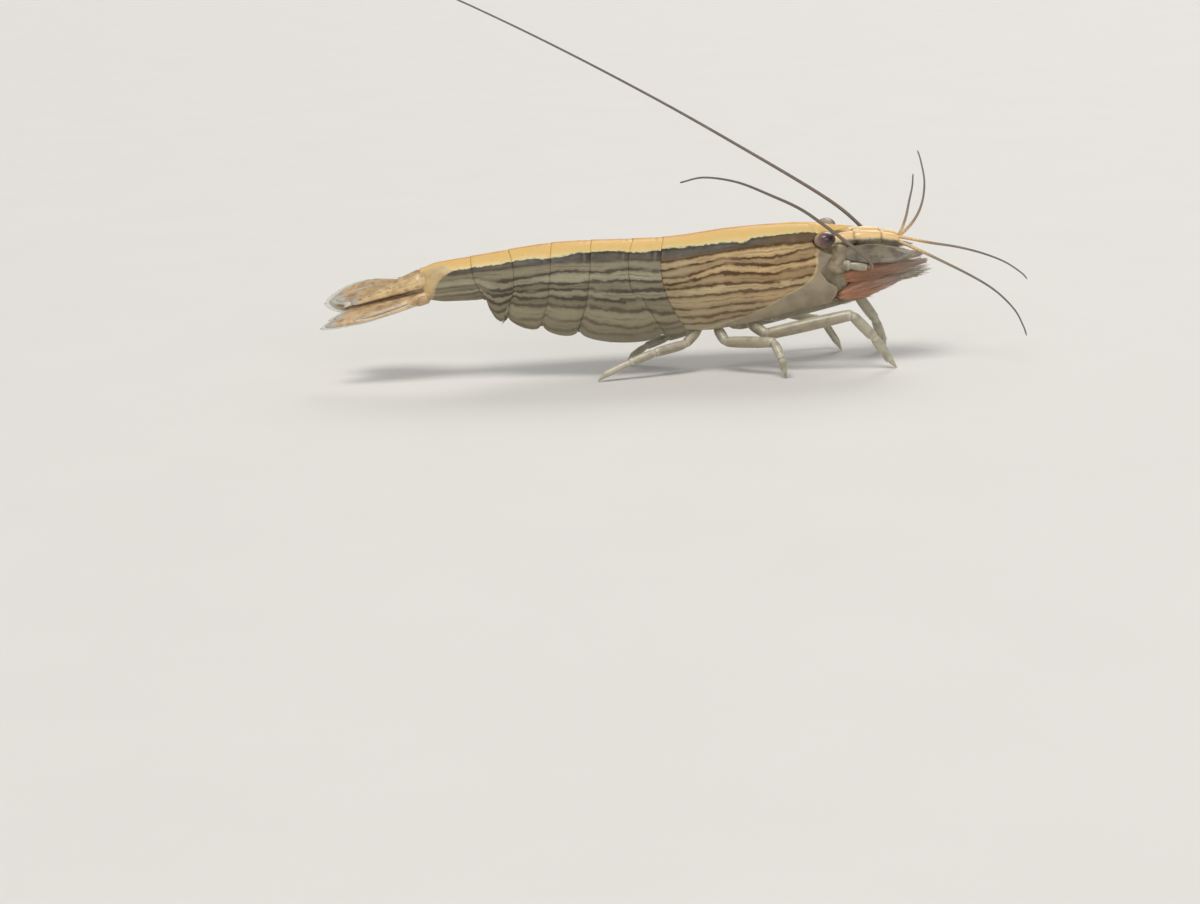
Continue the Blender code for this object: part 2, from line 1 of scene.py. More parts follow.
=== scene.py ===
"""Bamboo shrimp, life size, as a still model that stands on its walking legs with its feeding fans folded.

Body shapes are worked out in millimetres, upright and symmetrical about Y = 0, and are then leaned to the
right and set in place by a matrix that also turns them into metres. X runs from tail to head, Y to the
animal's left and Z up from the floor.
"""

import math

import bmesh
import bpy
import numpy as np
from mathutils import Matrix, Vector


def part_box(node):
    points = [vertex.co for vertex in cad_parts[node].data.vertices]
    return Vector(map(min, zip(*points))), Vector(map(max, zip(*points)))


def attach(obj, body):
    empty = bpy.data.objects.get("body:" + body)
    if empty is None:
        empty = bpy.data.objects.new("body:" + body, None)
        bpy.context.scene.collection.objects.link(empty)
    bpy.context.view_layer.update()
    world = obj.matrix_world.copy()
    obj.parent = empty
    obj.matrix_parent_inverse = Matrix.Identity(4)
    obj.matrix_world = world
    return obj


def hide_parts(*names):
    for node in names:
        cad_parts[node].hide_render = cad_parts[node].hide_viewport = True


bl_info = {
    "name": "Bamboo shrimp",
    "version": (1, 0, 0),
    "blender": (4, 5, 0),
    "location": "3D View > Sidebar > Shrimp",
    "description": "Builds a life-size bamboo shrimp over its solid frame",
    "category": "Add Mesh",
}

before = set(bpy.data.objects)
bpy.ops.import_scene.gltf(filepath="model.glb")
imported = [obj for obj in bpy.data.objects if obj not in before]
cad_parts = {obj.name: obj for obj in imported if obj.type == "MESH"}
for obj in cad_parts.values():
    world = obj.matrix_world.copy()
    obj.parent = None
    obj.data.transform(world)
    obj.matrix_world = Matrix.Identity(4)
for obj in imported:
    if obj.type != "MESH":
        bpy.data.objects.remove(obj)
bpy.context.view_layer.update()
MM = 0.001
SIDES = ((-1, "right"), (1, "left"))  # the sign of Y on each side

# ---- Posture and body outline, as in the solids: (x, value) points of smooth curves ----
BODY_ROLL = math.radians(4.0)
TAIL_ROLL = math.radians(20.0)
ROLL_HEIGHT = 10.0
WRAP = math.radians(130.0)
BACK_HEIGHT = ((-26.4, 12.7), (-20.4, 13.5), (-11.6, 14.55), (0.4, 14.62), (7.2, 15.3), (13.7, 15.55), (18.0, 15.3))
HALF_WIDTH = ((-26.4, 1.75), (-20.4, 2.5), (-11.6, 3.75), (-3.0, 4.15), (4.0, 4.3), (11.0, 4.0), (18.6, 3.05))
CARAPACE_EDGE = ((2.4, 5.1), (4.8, 5.05), (7.8, 5.35), (11.0, 5.95), (14.3, 6.6), (18.6, 7.35))
ABDOMEN_EDGE = ((-26.4, 9.0), (-19.3, 9.1), (-17.2, 7.3), (-13.4, 6.1), (-9.4, 5.4), (-0.6, 4.9), (2.4, 5.1))
TROUGH_DEPTH = ((-26.4, 0.3), (-20.4, 0.5), (-17.0, 1.0), (-11.6, 1.2), (0.0, 1.3), (18.6, 1.3))
# What follows runs over the share of the way from the back to the lower edge, and gives x.
CARAPACE_FRONT = ((0, 16.4), (0.25, 16.25), (0.375, 15.9), (0.5, 17.4), (0.625, 17.3), (0.75, 18.1),
                  (0.875, 18.6), (1, 17.9))
BARE_PATCH_EDGE = ((0, 30), (0.27, 18.6), (0.34, 16.7), (0.45, 16.3), (0.62, 16.1), (0.72, 15.3), (0.8, 13.2),
                   (0.9, 9.2), (1, 3))
TAIL_CAP_EDGE = ((0, -23.6), (0.3, -23.2), (0.37, -22.9), (0.46, -23.9), (0.62, -24.7), (1, -25.3))
SEAMS = (  # x at the back, at the hinge and at the lower edge, and the height of that edge
    (0.4, 0.1, 2.4, 5.1), (-2.8, -3.4, -0.6, 4.9), (-7.3, -7.8, -9.4, 5.4), (-11.6, -12.0, -13.4, 6.1),
    (-16.3, -15.8, -17.2, 7.3), (-20.4, -20.1, -19.3, 9.1), (-26.4, -26.2, -25.6, 9.0),
)
HINGE_SHARE = 0.55
TAIL_END, BODY_LENGTH = -26.0, 44.0  # where the value "along" is 0, and how far on it is 1
WIDEST, WIDEST_ARC = 4.2, 11.2  # half the width of the body at its widest, and the way there from back to edge
LAST_GAP = 0.09  # share of the way to the lower edge that the phase takes for one step below the last line
FLAP_DROP = (0.35, 1.1, 0.75, 0.8, 1.3, 0.0)
ROSTRUM_ROOT_X = 11.6
ROSTRUM_TIP = (20.5, 15.0)
ROSTRUM_WIDTH = ((11.6, 0.25), (15.4, 0.9), (16.5, 1.7), (17.2, 1.2), (18.2, 0.7), (19.3, 0.38), (20.5, 0.03))
ROSTRUM_DEPTH = ((11.6, 0.3), (15.4, 0.6), (16.5, 0.82), (18.2, 0.5), (19.3, 0.3), (20.5, 0.03))

# ---- Dark lines of the flanks: share of the way from the back to the lower edge, along x ----
CARAPACE_LINES = (
    ((0.4, 0.22), (4.0, 0.245), (7.6, 0.27), (8.6, 0.29), (9.4, 0.245), (13.0, 0.235), (16.4, 0.21)),
    ((0.4, 0.37), (6.0, 0.345), (16.4, 0.35)),
    ((0.4, 0.45), (3.0, 0.425), (5.8, 0.405), (9.0, 0.435), (12.0, 0.455), (16.4, 0.40)),
    ((0.4, 0.52), (2.6, 0.515), (4.2, 0.48), (6.6, 0.46), (9.0, 0.49), (12.0, 0.53), (17.4, 0.49)),
    ((0.4, 0.575), (3.0, 0.55), (5.2, 0.525), (8.0, 0.55), (12.0, 0.60), (17.4, 0.575)),
    ((0.4, 0.61), (3.0, 0.605), (5.2, 0.60), (8.0, 0.625), (12.0, 0.665), (17.4, 0.665)),
    ((0.4, 0.675), (5.2, 0.685), (8.0, 0.695), (12.0, 0.725), (17.4, 0.74)),
    ((0.4, 0.775), (2.6, 0.80), (5.4, 0.785), (7.6, 0.785), (10.4, 0.81), (14.0, 0.83), (17.4, 0.80)),
    ((0.4, 0.85), (3.6, 0.865), (6.0, 0.85), (9.0, 0.865), (13.0, 0.885), (17.4, 0.86)),
    ((0.4, 0.92), (3.6, 0.93), (6.0, 0.905), (9.0, 0.905), (13.0, 0.92), (17.4, 0.90)),
)
ABDOMEN_LINES = (
    ((-26.4, 0.42), (-23.4, 0.385), (-20.0, 0.36), (-17.6, 0.325), (-14.0, 0.285),
     (-11.6, 0.30), (-9.0, 0.255), (-5.8, 0.235), (-2.6, 0.26), (0.9, 0.225)),
    ((-26.4, 0.50), (-20.0, 0.44), (-17.6, 0.405), (-11.2, 0.345), (-5.0, 0.34), (0.9, 0.35)),
    ((-26.4, 0.59), (-22.4, 0.55), (-18.0, 0.56), (-15.0, 0.505), (-11.2, 0.445), (-7.0, 0.45),
     (-3.8, 0.425), (0.9, 0.47)),
    ((-26.4, 0.72), (-22.0, 0.68), (-18.0, 0.65), (-14.0, 0.565), (-10.0, 0.55), (-7.0, 0.53), (-4.0, 0.52),
     (0.9, 0.555)),
    ((-26.4, 0.80), (-20.0, 0.75), (-15.0, 0.64), (-10.0, 0.60), (-4.0, 0.60), (0.9, 0.615)),
    ((-26.4, 0.88), (-20.0, 0.83), (-15.0, 0.70), (-10.0, 0.665), (-4.0, 0.665), (0.9, 0.68)),
    ((-26.4, 0.98), (-19.0, 0.92), (-16.0, 0.79), (-12.0, 0.74), (-8.0, 0.73), (-4.0, 0.735), (0.9, 0.81)),
    ((-26.4, 0.99), (-18.0, 0.97), (-14.0, 0.88), (-10.0, 0.85), (-6.0, 0.84), (-3.0, 0.87), (0.9, 0.885)),
    ((-26.4, 1.0), (-14.0, 0.97), (-10.0, 0.93), (-4.0, 0.92), (0.9, 0.935)),
)

# ---- Head, mouth and fans, as in the solids ----
EYES = ((17.05, -3.2, 14.3), (17.75, 3.2, 14.3))
EYE_RADIUS = 1.15
STALK_ROOT = (16.5, 1.3, 14.1)
ANTENNULE_BASE = ((17.4, 0.98, 13.4), (20.4, 0.98, 13.9), (23.3, 0.95, 13.8), (25.2, 0.9, 13.4))
ANTENNULE_BASE_RADII = (0.8, 0.74, 0.6)
ANTENNA_BASE = ((17.9, 2.55, 11.4), (19.8, 2.95, 11.3), (21.6, 3.2, 11.05))
ANTENNA_BASE_RADII = (0.62, 0.48)
SCALE_ROOT = (18.6, 2.5, 12.75)
SCALE_TIP = (26.9, 2.75, 12.1)
SCALE_TILT = math.radians(42.0)
MAXILLIPED = ((14.2, 0.5, 7.4), (16.4, 0.55, 6.95), (19.6, 0.85, 7.1), (23.2, 0.9, 8.45), (24.9, 0.85, 9.2),
              (28.0, 0.8, 9.75))
MAXILLIPED_RADII = (0.42, 0.42, 0.48, 0.42, 0.3)
FAN_ARMS = (((12.9, 0.5, 8.3), (14.6, 0.55, 8.1), (18.7, 0.85, 8.75), (19.4, 1.75, 9.8)),
            ((10.9, 1.1, 7.8), (12.6, 1.3, 7.45), (18.5, 1.3, 7.8), (19.1, 2.2, 7.9)))
FAN_ARM_RADII = (0.34, 0.34, 0.36)
FAN_TIPS = ((28.0, 1.75, 11.2), (25.2, 2.2, 9.6))
FAN_RADII = (0.9, 1.0)
FAN_SHAPE = ((0.0, 0.8), (0.12, 1.1), (0.3, 1.2), (0.5, 1.05), (0.75, 0.65), (0.92, 0.42), (1.0, 0.3))
FAN_HAIRS = 2400  # on each fan, fewer than in life
FACE_FOLDS = (  # where the soft skin of the face swells, and how far
    (ANTENNULE_BASE[0], 0.95), ((18.35, 2.45, 11.4), 1.15), (SCALE_ROOT, 0.85), ((18.4, 1.6, 9.0), 1.0),
    ((17.1, 1.2, 12.0), 1.5), ((17.4, 1.0, 10.0), 1.5), ((18.6, 1.2, 10.8), 1.2), ((18.5, 1.35, 9.2), 1.25),
    ((18.8, 1.6, 12.2), 1.2), ((18.1, 2.35, 12.0), 0.75), ((19.0, 2.55, 12.3), 0.6), ((18.9, 1.2, 8.6), 0.8),
    (MAXILLIPED[0], 0.6), (FAN_ARMS[0][0], 0.6), (FAN_ARMS[1][0], 0.6),
)
SKIN_VOXEL = 0.2
SKIN_SMOOTHING = 13
BAKE_PATCH = 0.003  # side of the piece of the unwrapped skin that one hair takes
LIMB_STEP = 0.13  # from ring to ring of a limb's skin

# ---- Walking legs: joints from the coxa to the tip of the claw, and the radius of each segment by pair ----
LEG_RADII = {
    "3": (0.64, 0.6, 0.7, 0.6, 0.53, 0.36), "4": (0.62, 0.58, 0.62, 0.5, 0.42, 0.33),
    "5": (0.6, 0.56, 0.54, 0.47, 0.38, 0.32),
}
LEGS = {
    "leg_3_right": ((9.2, -1.3, 6.6), (9.0, -1.75, 5.0), (10.6, -3.4, 4.1), (19.6, -4.9, 6.1), (21.9, -4.8, 3.6),
                    (23.7, -4.6, 0.9), (24.4, -4.55, 0.0)),
    "leg_4_right": ((6.1, -1.3, 6.3), (5.4, -1.75, 4.7), (6.2, -3.1, 3.4), (11.2, -6.0, 3.7), (11.8, -7.6, 2.3),
                    (12.1, -7.2, 0.85), (12.3, -7.0, 0.0)),
    "leg_5_right": ((4.0, -1.3, 6.3), (3.4, -1.85, 4.7), (1.9, -2.8, 3.3), (-1.4, -3.7, 2.7), (-4.2, -4.2, 1.85),
                    (-7.0, -4.7, 0.7), (-7.7, -4.8, 0.0)),
    "leg_3_left": ((9.2, 1.7, 7.0), (9.5, 2.2, 5.3), (11.8, 3.1, 4.8), (21.3, 4.7, 6.5), (23.3, 5.3, 3.6),
                   (24.2, 5.5, 0.9), (24.5, 5.5, 0.0)),
    "leg_4_left": ((6.4, 1.7, 6.7), (6.6, 2.2, 4.9), (7.8, 3.4, 3.9), (13.6, 6.0, 4.4), (17.6, 6.6, 3.5),
                   (19.2, 5.9, 0.9), (19.6, 5.7, 0.0)),
    "leg_5_left": ((4.0, 1.7, 6.6), (3.8, 2.2, 4.9), (2.6, 3.0, 3.7), (0.2, 3.6, 2.9), (-2.2, 4.0, 1.9),
                   (-3.8, 4.3, 0.8), (-4.4, 4.4, 0.0)),
}

# ---- Feelers: points of smooth curves ----
FEELERS = {
    "antennule_outer_right": ((25.0, -1.0, 13.3), (25.6, -1.35, 13.0), (28.3, -2.1, 11.7), (32.5, -3.2, 9.5),
                              (35.1, -4.0, 7.8), (37.0, -4.7, 5.8), (37.9, -5.0, 4.0), (38.2, -5.2, 3.0)),
    "antennule_inner_right": ((25.0, -0.8, 13.5), (25.65, -0.75, 13.5), (28.6, -0.8, 12.8), (31.6, -0.9, 12.2),
                              (34.3, -1.1, 11.4), (36.6, -1.3, 10.4), (38.3, -1.6, 9.2), (38.9, -1.8, 8.5)),
    "antennule_outer_left": ((24.9, 1.1, 13.0), (25.55, 1.3, 13.3), (27.2, 2.0, 14.7), (28.4, 3.6, 16.4),
                             (29.0, 5.6, 18.5), (28.9, 7.6, 20.6), (28.7, 8.6, 21.6)),
    "antennule_inner_left": ((25.0, 0.7, 13.4), (25.65, 0.65, 13.9), (26.3, 1.0, 15.4), (26.8, 1.9, 17.0),
                             (27.3, 3.0, 18.4), (27.6, 4.4, 19.6)),
    "antenna_right": ((21.7, -3.3, 10.9), (22.0, -3.75, 10.95), (21.4, -4.5, 12.0), (18.85, -4.9, 14.2),
                      (16.7, -5.5, 16.0), (14.2, -6.8, 17.95), (10.9, -9.8, 19.95), (7.2, -15.6, 22.2),
                      (3.6, -21.4, 23.6), (1.0, -26.6, 23.9)),
    "antenna_left": ((21.6, 3.2, 11.0), (21.95, 3.5, 11.3), (22.6, 4.4, 12.55), (21.6, 4.6, 14.3), (17.7, 4.9, 17.6),
                     (8.0, 6.3, 23.8), (-0.7, 8.4, 29.0), (-10.9, 11.6, 34.6), (-20.5, 15.2, 39.4),
                     (-29.5, 19.2, 43.4)),
}
ANTENNA_STOUTNESS = 1.12

# ---- Tail fan and swimmerets ----
TELSON_ROOT = (-25.3, 0.0, 11.5)
TELSON_TIP = (-34.0, 0.0, 8.75)
TELSON_HALF_WIDTHS = (1.62, 0.66)
TAIL_BLADES = {  # root, tip, half width, degrees the outer edge is raised, fullness within and without, widest place
    "tail_inner_right": ((-25.4, -1.05, 10.3), (-36.2, -1.62, 7.85), 1.35, -4.0, (1.0, 1.0), 0.52),
    "tail_outer_right": ((-25.0, -1.5, 10.0), (-37.1, -2.47, 7.4), 1.95, -4.0, (1.15, 0.55), 0.52),
    "tail_inner_left": ((-25.4, 1.05, 10.2), (-36.1, 1.62, 8.3), 1.35, 13.0, (1.0, 1.1), 0.52),
    "tail_outer_left": ((-25.0, 1.6, 9.7), (-37.0, 2.47, 7.6), 2.15, 21.0, (1.0, 1.15), 0.61),
}
BLADE_KNOB = ((-0.2, -0.2, 0.05), (-0.7, -0.1, -0.1), (-1.5, 0, -0.3), (-3.2, 0.35, -0.75))
SWIMMERETS = (  # x and height of the root, how far out it is, and length
    (0.2, 6.3, 1.2, 2.2), (-4.0, 5.7, 1.25, 2.9), (-9.0, 6.5, 1.2, 2.7), (-13.2, 7.1, 1.1, 2.2),
    (-16.8, 7.15, 0.8, 1.4),
)
SWIMMERET_LEAN = math.radians(48.0)

# ---- Stage, in metres and degrees ----
FLOOR_SIDES = 96
LAMPS = (  # name, place, angle across, strength, colour
    ("key_light", (-0.10, -0.16, 0.42), 26, 1.75, (1.0, 0.97, 0.92)),
    ("front_light", (0.12, -0.45, 0.14), 45, 1.05, (0.97, 0.98, 1.0)),
    ("rim_light", (0.10, 0.30, 0.26), 30, 0.9, (1.0, 0.98, 0.95)),
)
CAMERA_LENS = 70.909
CAMERA_DOWN = math.radians(14.0)
CAMERA_ROLL = math.radians(2.6)
CAMERA_PLACE = (-7.82, -252.28, 53.98)


def linear(shade):
    """The linear colour of an sRGB hex value. A colour that is linear already stays as it is."""
    if not isinstance(shade, str):
        return tuple(shade)
    parts = [int(shade[k : k + 2], 16) / 255 for k in (1, 3, 5)]
    return tuple(c / 12.92 if c <= 0.04045 else ((c + 0.055) / 1.055) ** 2.4 for c in parts) + (1.0,)


def size(name, description, default):
    """A length that a user may change, held in metres."""
    return bpy.props.FloatProperty(
        name=name, description=description, default=default * MM, min=0.0, unit="LENGTH", precision=6
    )


def tint(name, description, code):
    """A colour that a user may change."""
    return bpy.props.FloatVectorProperty(
        name=name, description=description, default=linear(code), size=4, min=0.0, max=1.0, subtype="COLOR"
    )


class ShrimpSizes(bpy.types.PropertyGroup):
    """Sizes of the details that the solids leave out."""

    shell_wall: size("Shell wall", "Thickness of the shell plates at their margins", 0.11)
    plate_overlap: size("Plate overlap", "How far each plate runs back over the next", 0.55)
    line_width: size("Line width", "Width of the dark lines of the flanks", 0.26)
    line_wobble: size("Line wobble", "How far the dark lines stray from their smooth course", 0.34)
    feeler_root: size("Feeler root", "Thickness of a feeler where it leaves its base", 0.37)
    feeler_tip: size("Feeler tip", "Thickness of a feeler at its tip", 0.16)
    ring_pitch: size("Ring pitch", "Length of one ring of a feeler, drawn coarser than life to show", 0.42)
    fringe: size("Fringe", "Length of the hairs along the tail blades", 0.6)
    fan_hair: size("Fan hair", "Length of the filter hairs of the fans", 3.2)
    leg_hair: size("Leg hair", "Length of the sparse hairs of the walking legs", 0.34)
    facet: size("Facet", "Width of one facet of the eyes, drawn coarser than life to show", 0.09)


class ShrimpColours(bpy.types.PropertyGroup):
    """Colours of the shell, the limbs and the stage."""

    stripe: tint("Back stripe", "Cream stripe along the back", "#DFB36C")
    stripe_rim: tint("Stripe rim", "Greenish white rim of the back stripe", "#D3C690")
    shade: tint("Band below the stripe", "Dark band just below the back stripe", "#241F1B")
    ground: tint("Flank ground", "Tan ground between the lines of the flanks", "#CBAB7C")
    line: tint("Flank lines", "Dark lines along the flanks", "#523919")
    belly: tint("Lower flank", "Grey-beige shell at the lower front of the carapace", "#A3967F")
    limb: tint("Limbs", "Translucent grey-olive of the walking legs", "#9C917A")
    bluish: tint("Limb highlights", "Bluish white at the joints and along the legs", "#CDCAB6")
    feeler: tint("Feelers", "Grey-brown of the feelers", "#66605A")
    cream: tint("Feeler bases", "Cream of the feeler bases", "#E3BE83")
    fan_root: tint("Fan root", "Orange of the fans near the hand", "#EEB088")
    fan_tip: tint("Fan tip", "Purple-brown of the fans near the tip", "#C2B6AA")
    eye: tint("Eye", "Purple-brown of the eyes", "#4A3735")
    tail: tint("Tail fan", "Tan of the tail fan", "#D9BC8C")
    floor: tint("Floor", "Plain pale floor and backdrop", "#DEDCD8")


def sizes():
    """The sizes as a mapping from name to millimetres."""
    held = bpy.context.scene.shrimp_sizes
    return {name: getattr(held, name) / MM for name in ShrimpSizes.__annotations__}


def colour(name):
    """One of the user's colours, linear."""
    return tuple(getattr(bpy.context.scene.shrimp_colours, name))


# ---- Curves and places ----
def smooth(points):
    """A Catmull-Rom curve through (x, value) points, as a function of one x or of an array of them."""
    xs, values = np.array(sorted(points), float).T
    before, after = np.maximum(np.arange(len(xs)) - 1, 0), np.minimum(np.arange(len(xs)) + 1, len(xs) - 1)
    slopes = (values[after] - values[before]) / (xs[after] - xs[before])

    def value(x):
        """The value of the curve at x, held still beyond its ends."""
        x = np.clip(x, xs[0], xs[-1])
        i = np.clip(np.searchsorted(xs, x, side="left") - 1, 0, len(xs) - 2)
        span = xs[i + 1] - xs[i]
        t = (x - xs[i]) / span
        return (
            values[i] * (1 + 2 * t) * (1 - t) ** 2
            + slopes[i] * span * t * (1 - t) ** 2
            + values[i + 1] * t * t * (3 - 2 * t)
            + slopes[i + 1] * span * t * t * (t - 1)
        )

    return value


back_height, half_width = smooth(BACK_HEIGHT), smooth(HALF_WIDTH)
carapace_edge, abdomen_edge = smooth(CARAPACE_EDGE), smooth(ABDOMEN_EDGE)


def ease(low, high, x):
    """Runs smoothly from 0 at low to 1 at high."""
    t = np.clip((np.asarray(x, float) - low) / (high - low), 0, 1)
    return t * t * (3 - 2 * t)


def hump(x, middle, reach):
    """A bell that is 1 at its middle and has all but gone at twice its reach."""
    return np.exp(-(((np.asarray(x, float) - middle) / reach) ** 2))


def unit(vectors):
    """The same directions, each one long."""
    return vectors / np.maximum(np.linalg.norm(vectors, axis=-1, keepdims=True), 1e-9)


def circle(count):
    """Angles evenly spaced round a circle."""
    return np.linspace(0, math.tau, count, endpoint=False)


def lean(roll):
    """The turn about the body's long line that leans a piece to the right."""
    pivot = Vector((0, 0, ROLL_HEIGHT))
    return Matrix.Translation(pivot) @ Matrix.Rotation(roll, 4, "X") @ Matrix.Translation(-pivot)


def shift_of_frame():
    """The step from the animal's own origin to the frame's, in millimetres, read off the right eye."""
    low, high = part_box("eye_right")
    return (low + high) / 2 / MM - lean(BODY_ROLL) @ Vector(EYES[0])


SHIFT = shift_of_frame()


def in_frame(roll=0.0):
    """The matrix from the animal's millimetres to the frame's metres, leaned by roll."""
    return Matrix.Scale(MM, 4) @ Matrix.Translation(SHIFT) @ lean(roll)


def mirrored(points, side):
    """A point or points given for the left side, put on the side whose sign is given, in single precision."""
    return np.array(points, np.float32).astype(float) * (1, side, 1)


def up_turned(axis, angle):
    """The way up, turned by an angle round an axis."""
    return np.array(Matrix.Rotation(angle, 3, Vector(axis)) @ Vector((0, 0, 1)))


def lengths_along(path):
    """How far along a path each of its points lies."""
    return np.r_[0, np.cumsum(np.linalg.norm(np.diff(path, axis=0), axis=1))]


def read_off(places, marks, points):
    """The points at some places of a path, whose own points lie at the marks."""
    return np.stack([np.interp(places, marks, points[:, axis]) for axis in range(3)], axis=-1)


def curve_points(points, count):
    """Evenly numbered points on a smooth curve through a few given ones."""
    places = np.linspace(0, len(points) - 1, count)
    return np.stack([smooth(list(enumerate(axis)))(places) for axis in zip(*points)], axis=1)


def cross_frames(path, up):
    """Directions ahead, to the side and up at each point of a path, turning as little as they can."""
    ahead = unit(np.gradient(path, axis=0))
    sides, ups = np.empty_like(path), np.empty_like(path)
    up = np.array(up, float)
    for i, along in enumerate(ahead):
        up = unit(up - along * up.dot(along))
        sides[i], ups[i] = np.cross(up, along), up
    return ahead, sides, ups


def spokes_round(path, count, up):
    """Directions from a path to the points of a ring square to it, at each of its points, and its cross frames."""
    ahead, sides, ups = cross_frames(path, up)
    turns = circle(count)[:, None]
    return sides[:, None] * np.cos(turns) + ups[:, None] * np.sin(turns), ahead, sides, ups


# ---- Meshes ----
def sheet_normals(points):
    """Outward directions of an open sheet of points of shape (n, k, 3) that bends round its own middle."""
    normal = unit(np.cross(np.gradient(points, axis=1), np.gradient(points, axis=0)))
    return normal if (normal * (points - points.mean(1, keepdims=True))).sum() >= 0 else -normal


class Shape:
    """Points, faces and values at the points, gathered before they become one mesh."""

    def __init__(self):
        self.points, self.faces, self.values, self.count = [], [], [], 0

    def add(self, points, faces, values):
        """Adds points of shape (n, 3), faces that count from 0, and arrays of n values by name."""
        self.faces.extend([tuple(int(k) + self.count for k in face) for face in faces])
        self.points.append(points)
        self.values.append(values)
        self.count += len(points)

    def tube(self, rings, **values):
        """A closed skin round rings of shape (n, k, 3), capped by a point in the middle of each end."""
        n, k = rings.shape[:2]
        i, j = np.meshgrid(np.arange(n - 1), np.arange(k), indexing="ij")
        a, b = i * k + j, i * k + (j + 1) % k
        faces = list(np.stack([a, b, b + k, a + k], -1).reshape(-1, 4))
        faces += [(n * k, (m + 1) % k, m) for m in range(k)]
        faces += [(n * k + 1, (n - 1) * k + m, (n - 1) * k + (m + 1) % k) for m in range(k)]
        full = {}
        for name, v in values.items():
            v = np.broadcast_to(np.asarray(v, float), (n, k))
            full[name] = np.concatenate([v.reshape(-1), [v[0].mean()], [v[-1].mean()]])
        self.add(np.concatenate([rings.reshape(-1, 3), rings[:1].mean(1), rings[-1:].mean(1)]), faces, full)

    def plate(self, outer, wall, **values):
        """A closed wall under an open sheet of points of shape (n, k, 3), with a rounded edge all round."""
        n, k = outer.shape[:2]
        inner = outer - sheet_normals(outer) * wall
        order = [(0, j) for j in range(k)] + [(i, k - 1) for i in range(1, n)]
        order += [(n - 1, j) for j in range(k - 2, -1, -1)] + [(i, 0) for i in range(n - 2, 0, -1)]
        edge = [i * k + j for i, j in order]
        rim_out, rim_in = outer.reshape(-1, 3)[edge], inner.reshape(-1, 3)[edge]
        inside = np.array([(min(max(i, 1), n - 2), min(max(j, 1), k - 2)) for i, j in order])
        away = unit(rim_out - outer[inside[:, 0], inside[:, 1]])
        middle = (rim_out + rim_in) / 2 + away * np.linalg.norm(rim_out - rim_in, axis=1, keepdims=True) * 0.5
        i, j = np.meshgrid(np.arange(n - 1), np.arange(k - 1), indexing="ij")
        a = i * k + j
        quads = np.stack([a, a + 1, a + 1 + k, a + k], -1).reshape(-1, 4)
        total = n * k
        faces = list(quads) + [q[::-1] + total for q in quads]
        for s, here in enumerate(edge):
            t = (s + 1) % len(edge)
            faces.append((here, 2 * total + s, 2 * total + t, edge[t]))
            faces.append((2 * total + s, here + total, edge[t] + total, 2 * total + t))
        full = {}
        for name, v in values.items():
            v = np.broadcast_to(np.asarray(v, float), (n, k)).reshape(-1)
            full[name] = np.concatenate([v, v, v[edge]])
        self.add(np.concatenate([outer.reshape(-1, 3), inner.reshape(-1, 3), middle]), faces, full)

    def mesh(self, name, matrix):
        """One smooth mesh with its faces outward, set in place by the matrix, with its values as attributes."""
        points = np.concatenate(self.points) @ np.array(matrix.to_3x3()).T + np.array(matrix.translation)
        made = bpy.data.meshes.new(name)
        made.from_pydata(points.tolist(), [], self.faces)
        for key in sorted({key for part in self.values for key in part}):
            field = made.attributes.new(key, "FLOAT", "POINT")
            held = [part.get(key, np.zeros(len(p))) for part, p in zip(self.values, self.points)]
            field.data.foreach_set("value", np.concatenate(held).astype(np.float32))
        made.validate()
        made.shade_smooth()
        bm = bmesh.new()
        bm.from_mesh(made)
        bmesh.ops.recalc_face_normals(bm, faces=bm.faces)
        bm.to_mesh(made)
        bm.free()
        return made


def placed(name, data):
    """A new object in the scene."""
    made = bpy.data.objects.new(name, data)
    bpy.context.scene.collection.objects.link(made)
    return made


def evaluated(made):
    """The plain mesh of an object with its modifiers applied."""
    bpy.context.view_layer.update()
    return bpy.data.meshes.new_from_object(made.evaluated_get(bpy.context.evaluated_depsgraph_get()))


def show(name, mesh, material, nodes):
    """Makes the finished piece of a mesh: its material, the nodes it stands for and the body it rides on."""
    made = placed(name, mesh)
    mesh.materials.clear()
    mesh.materials.append(material)
    if nodes:
        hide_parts(*nodes)
    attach(made, "root")


def finished(node_name, word, shape, roll, material):
    """The piece of a gathered shape, which replaces the node of its name."""
    name = f"{node_name}_{word}"
    show(name, shape.mesh(name, in_frame(roll)), material, (node_name,))


# ---- Materials ----
MIX, RANGE, RAMP = "ShaderNodeMix", "ShaderNodeMapRange", "ShaderNodeValToRGB"
CARRIED, PLACE, CELLS = "ShaderNodeAttribute", "ShaderNodeTexCoord", "ShaderNodeTexVoronoi"
PLUS, MINUS, TIMES, OVER, TIMES_PLUS, POWER, LARGER, FOLDED, UNSIGNED = (
    ("ShaderNodeMath", how) for how in (
        "ADD", "SUBTRACT", "MULTIPLY", "DIVIDE", "MULTIPLY_ADD", "POWER", "MAXIMUM", "PINGPONG", "ABSOLUTE",
    )
)


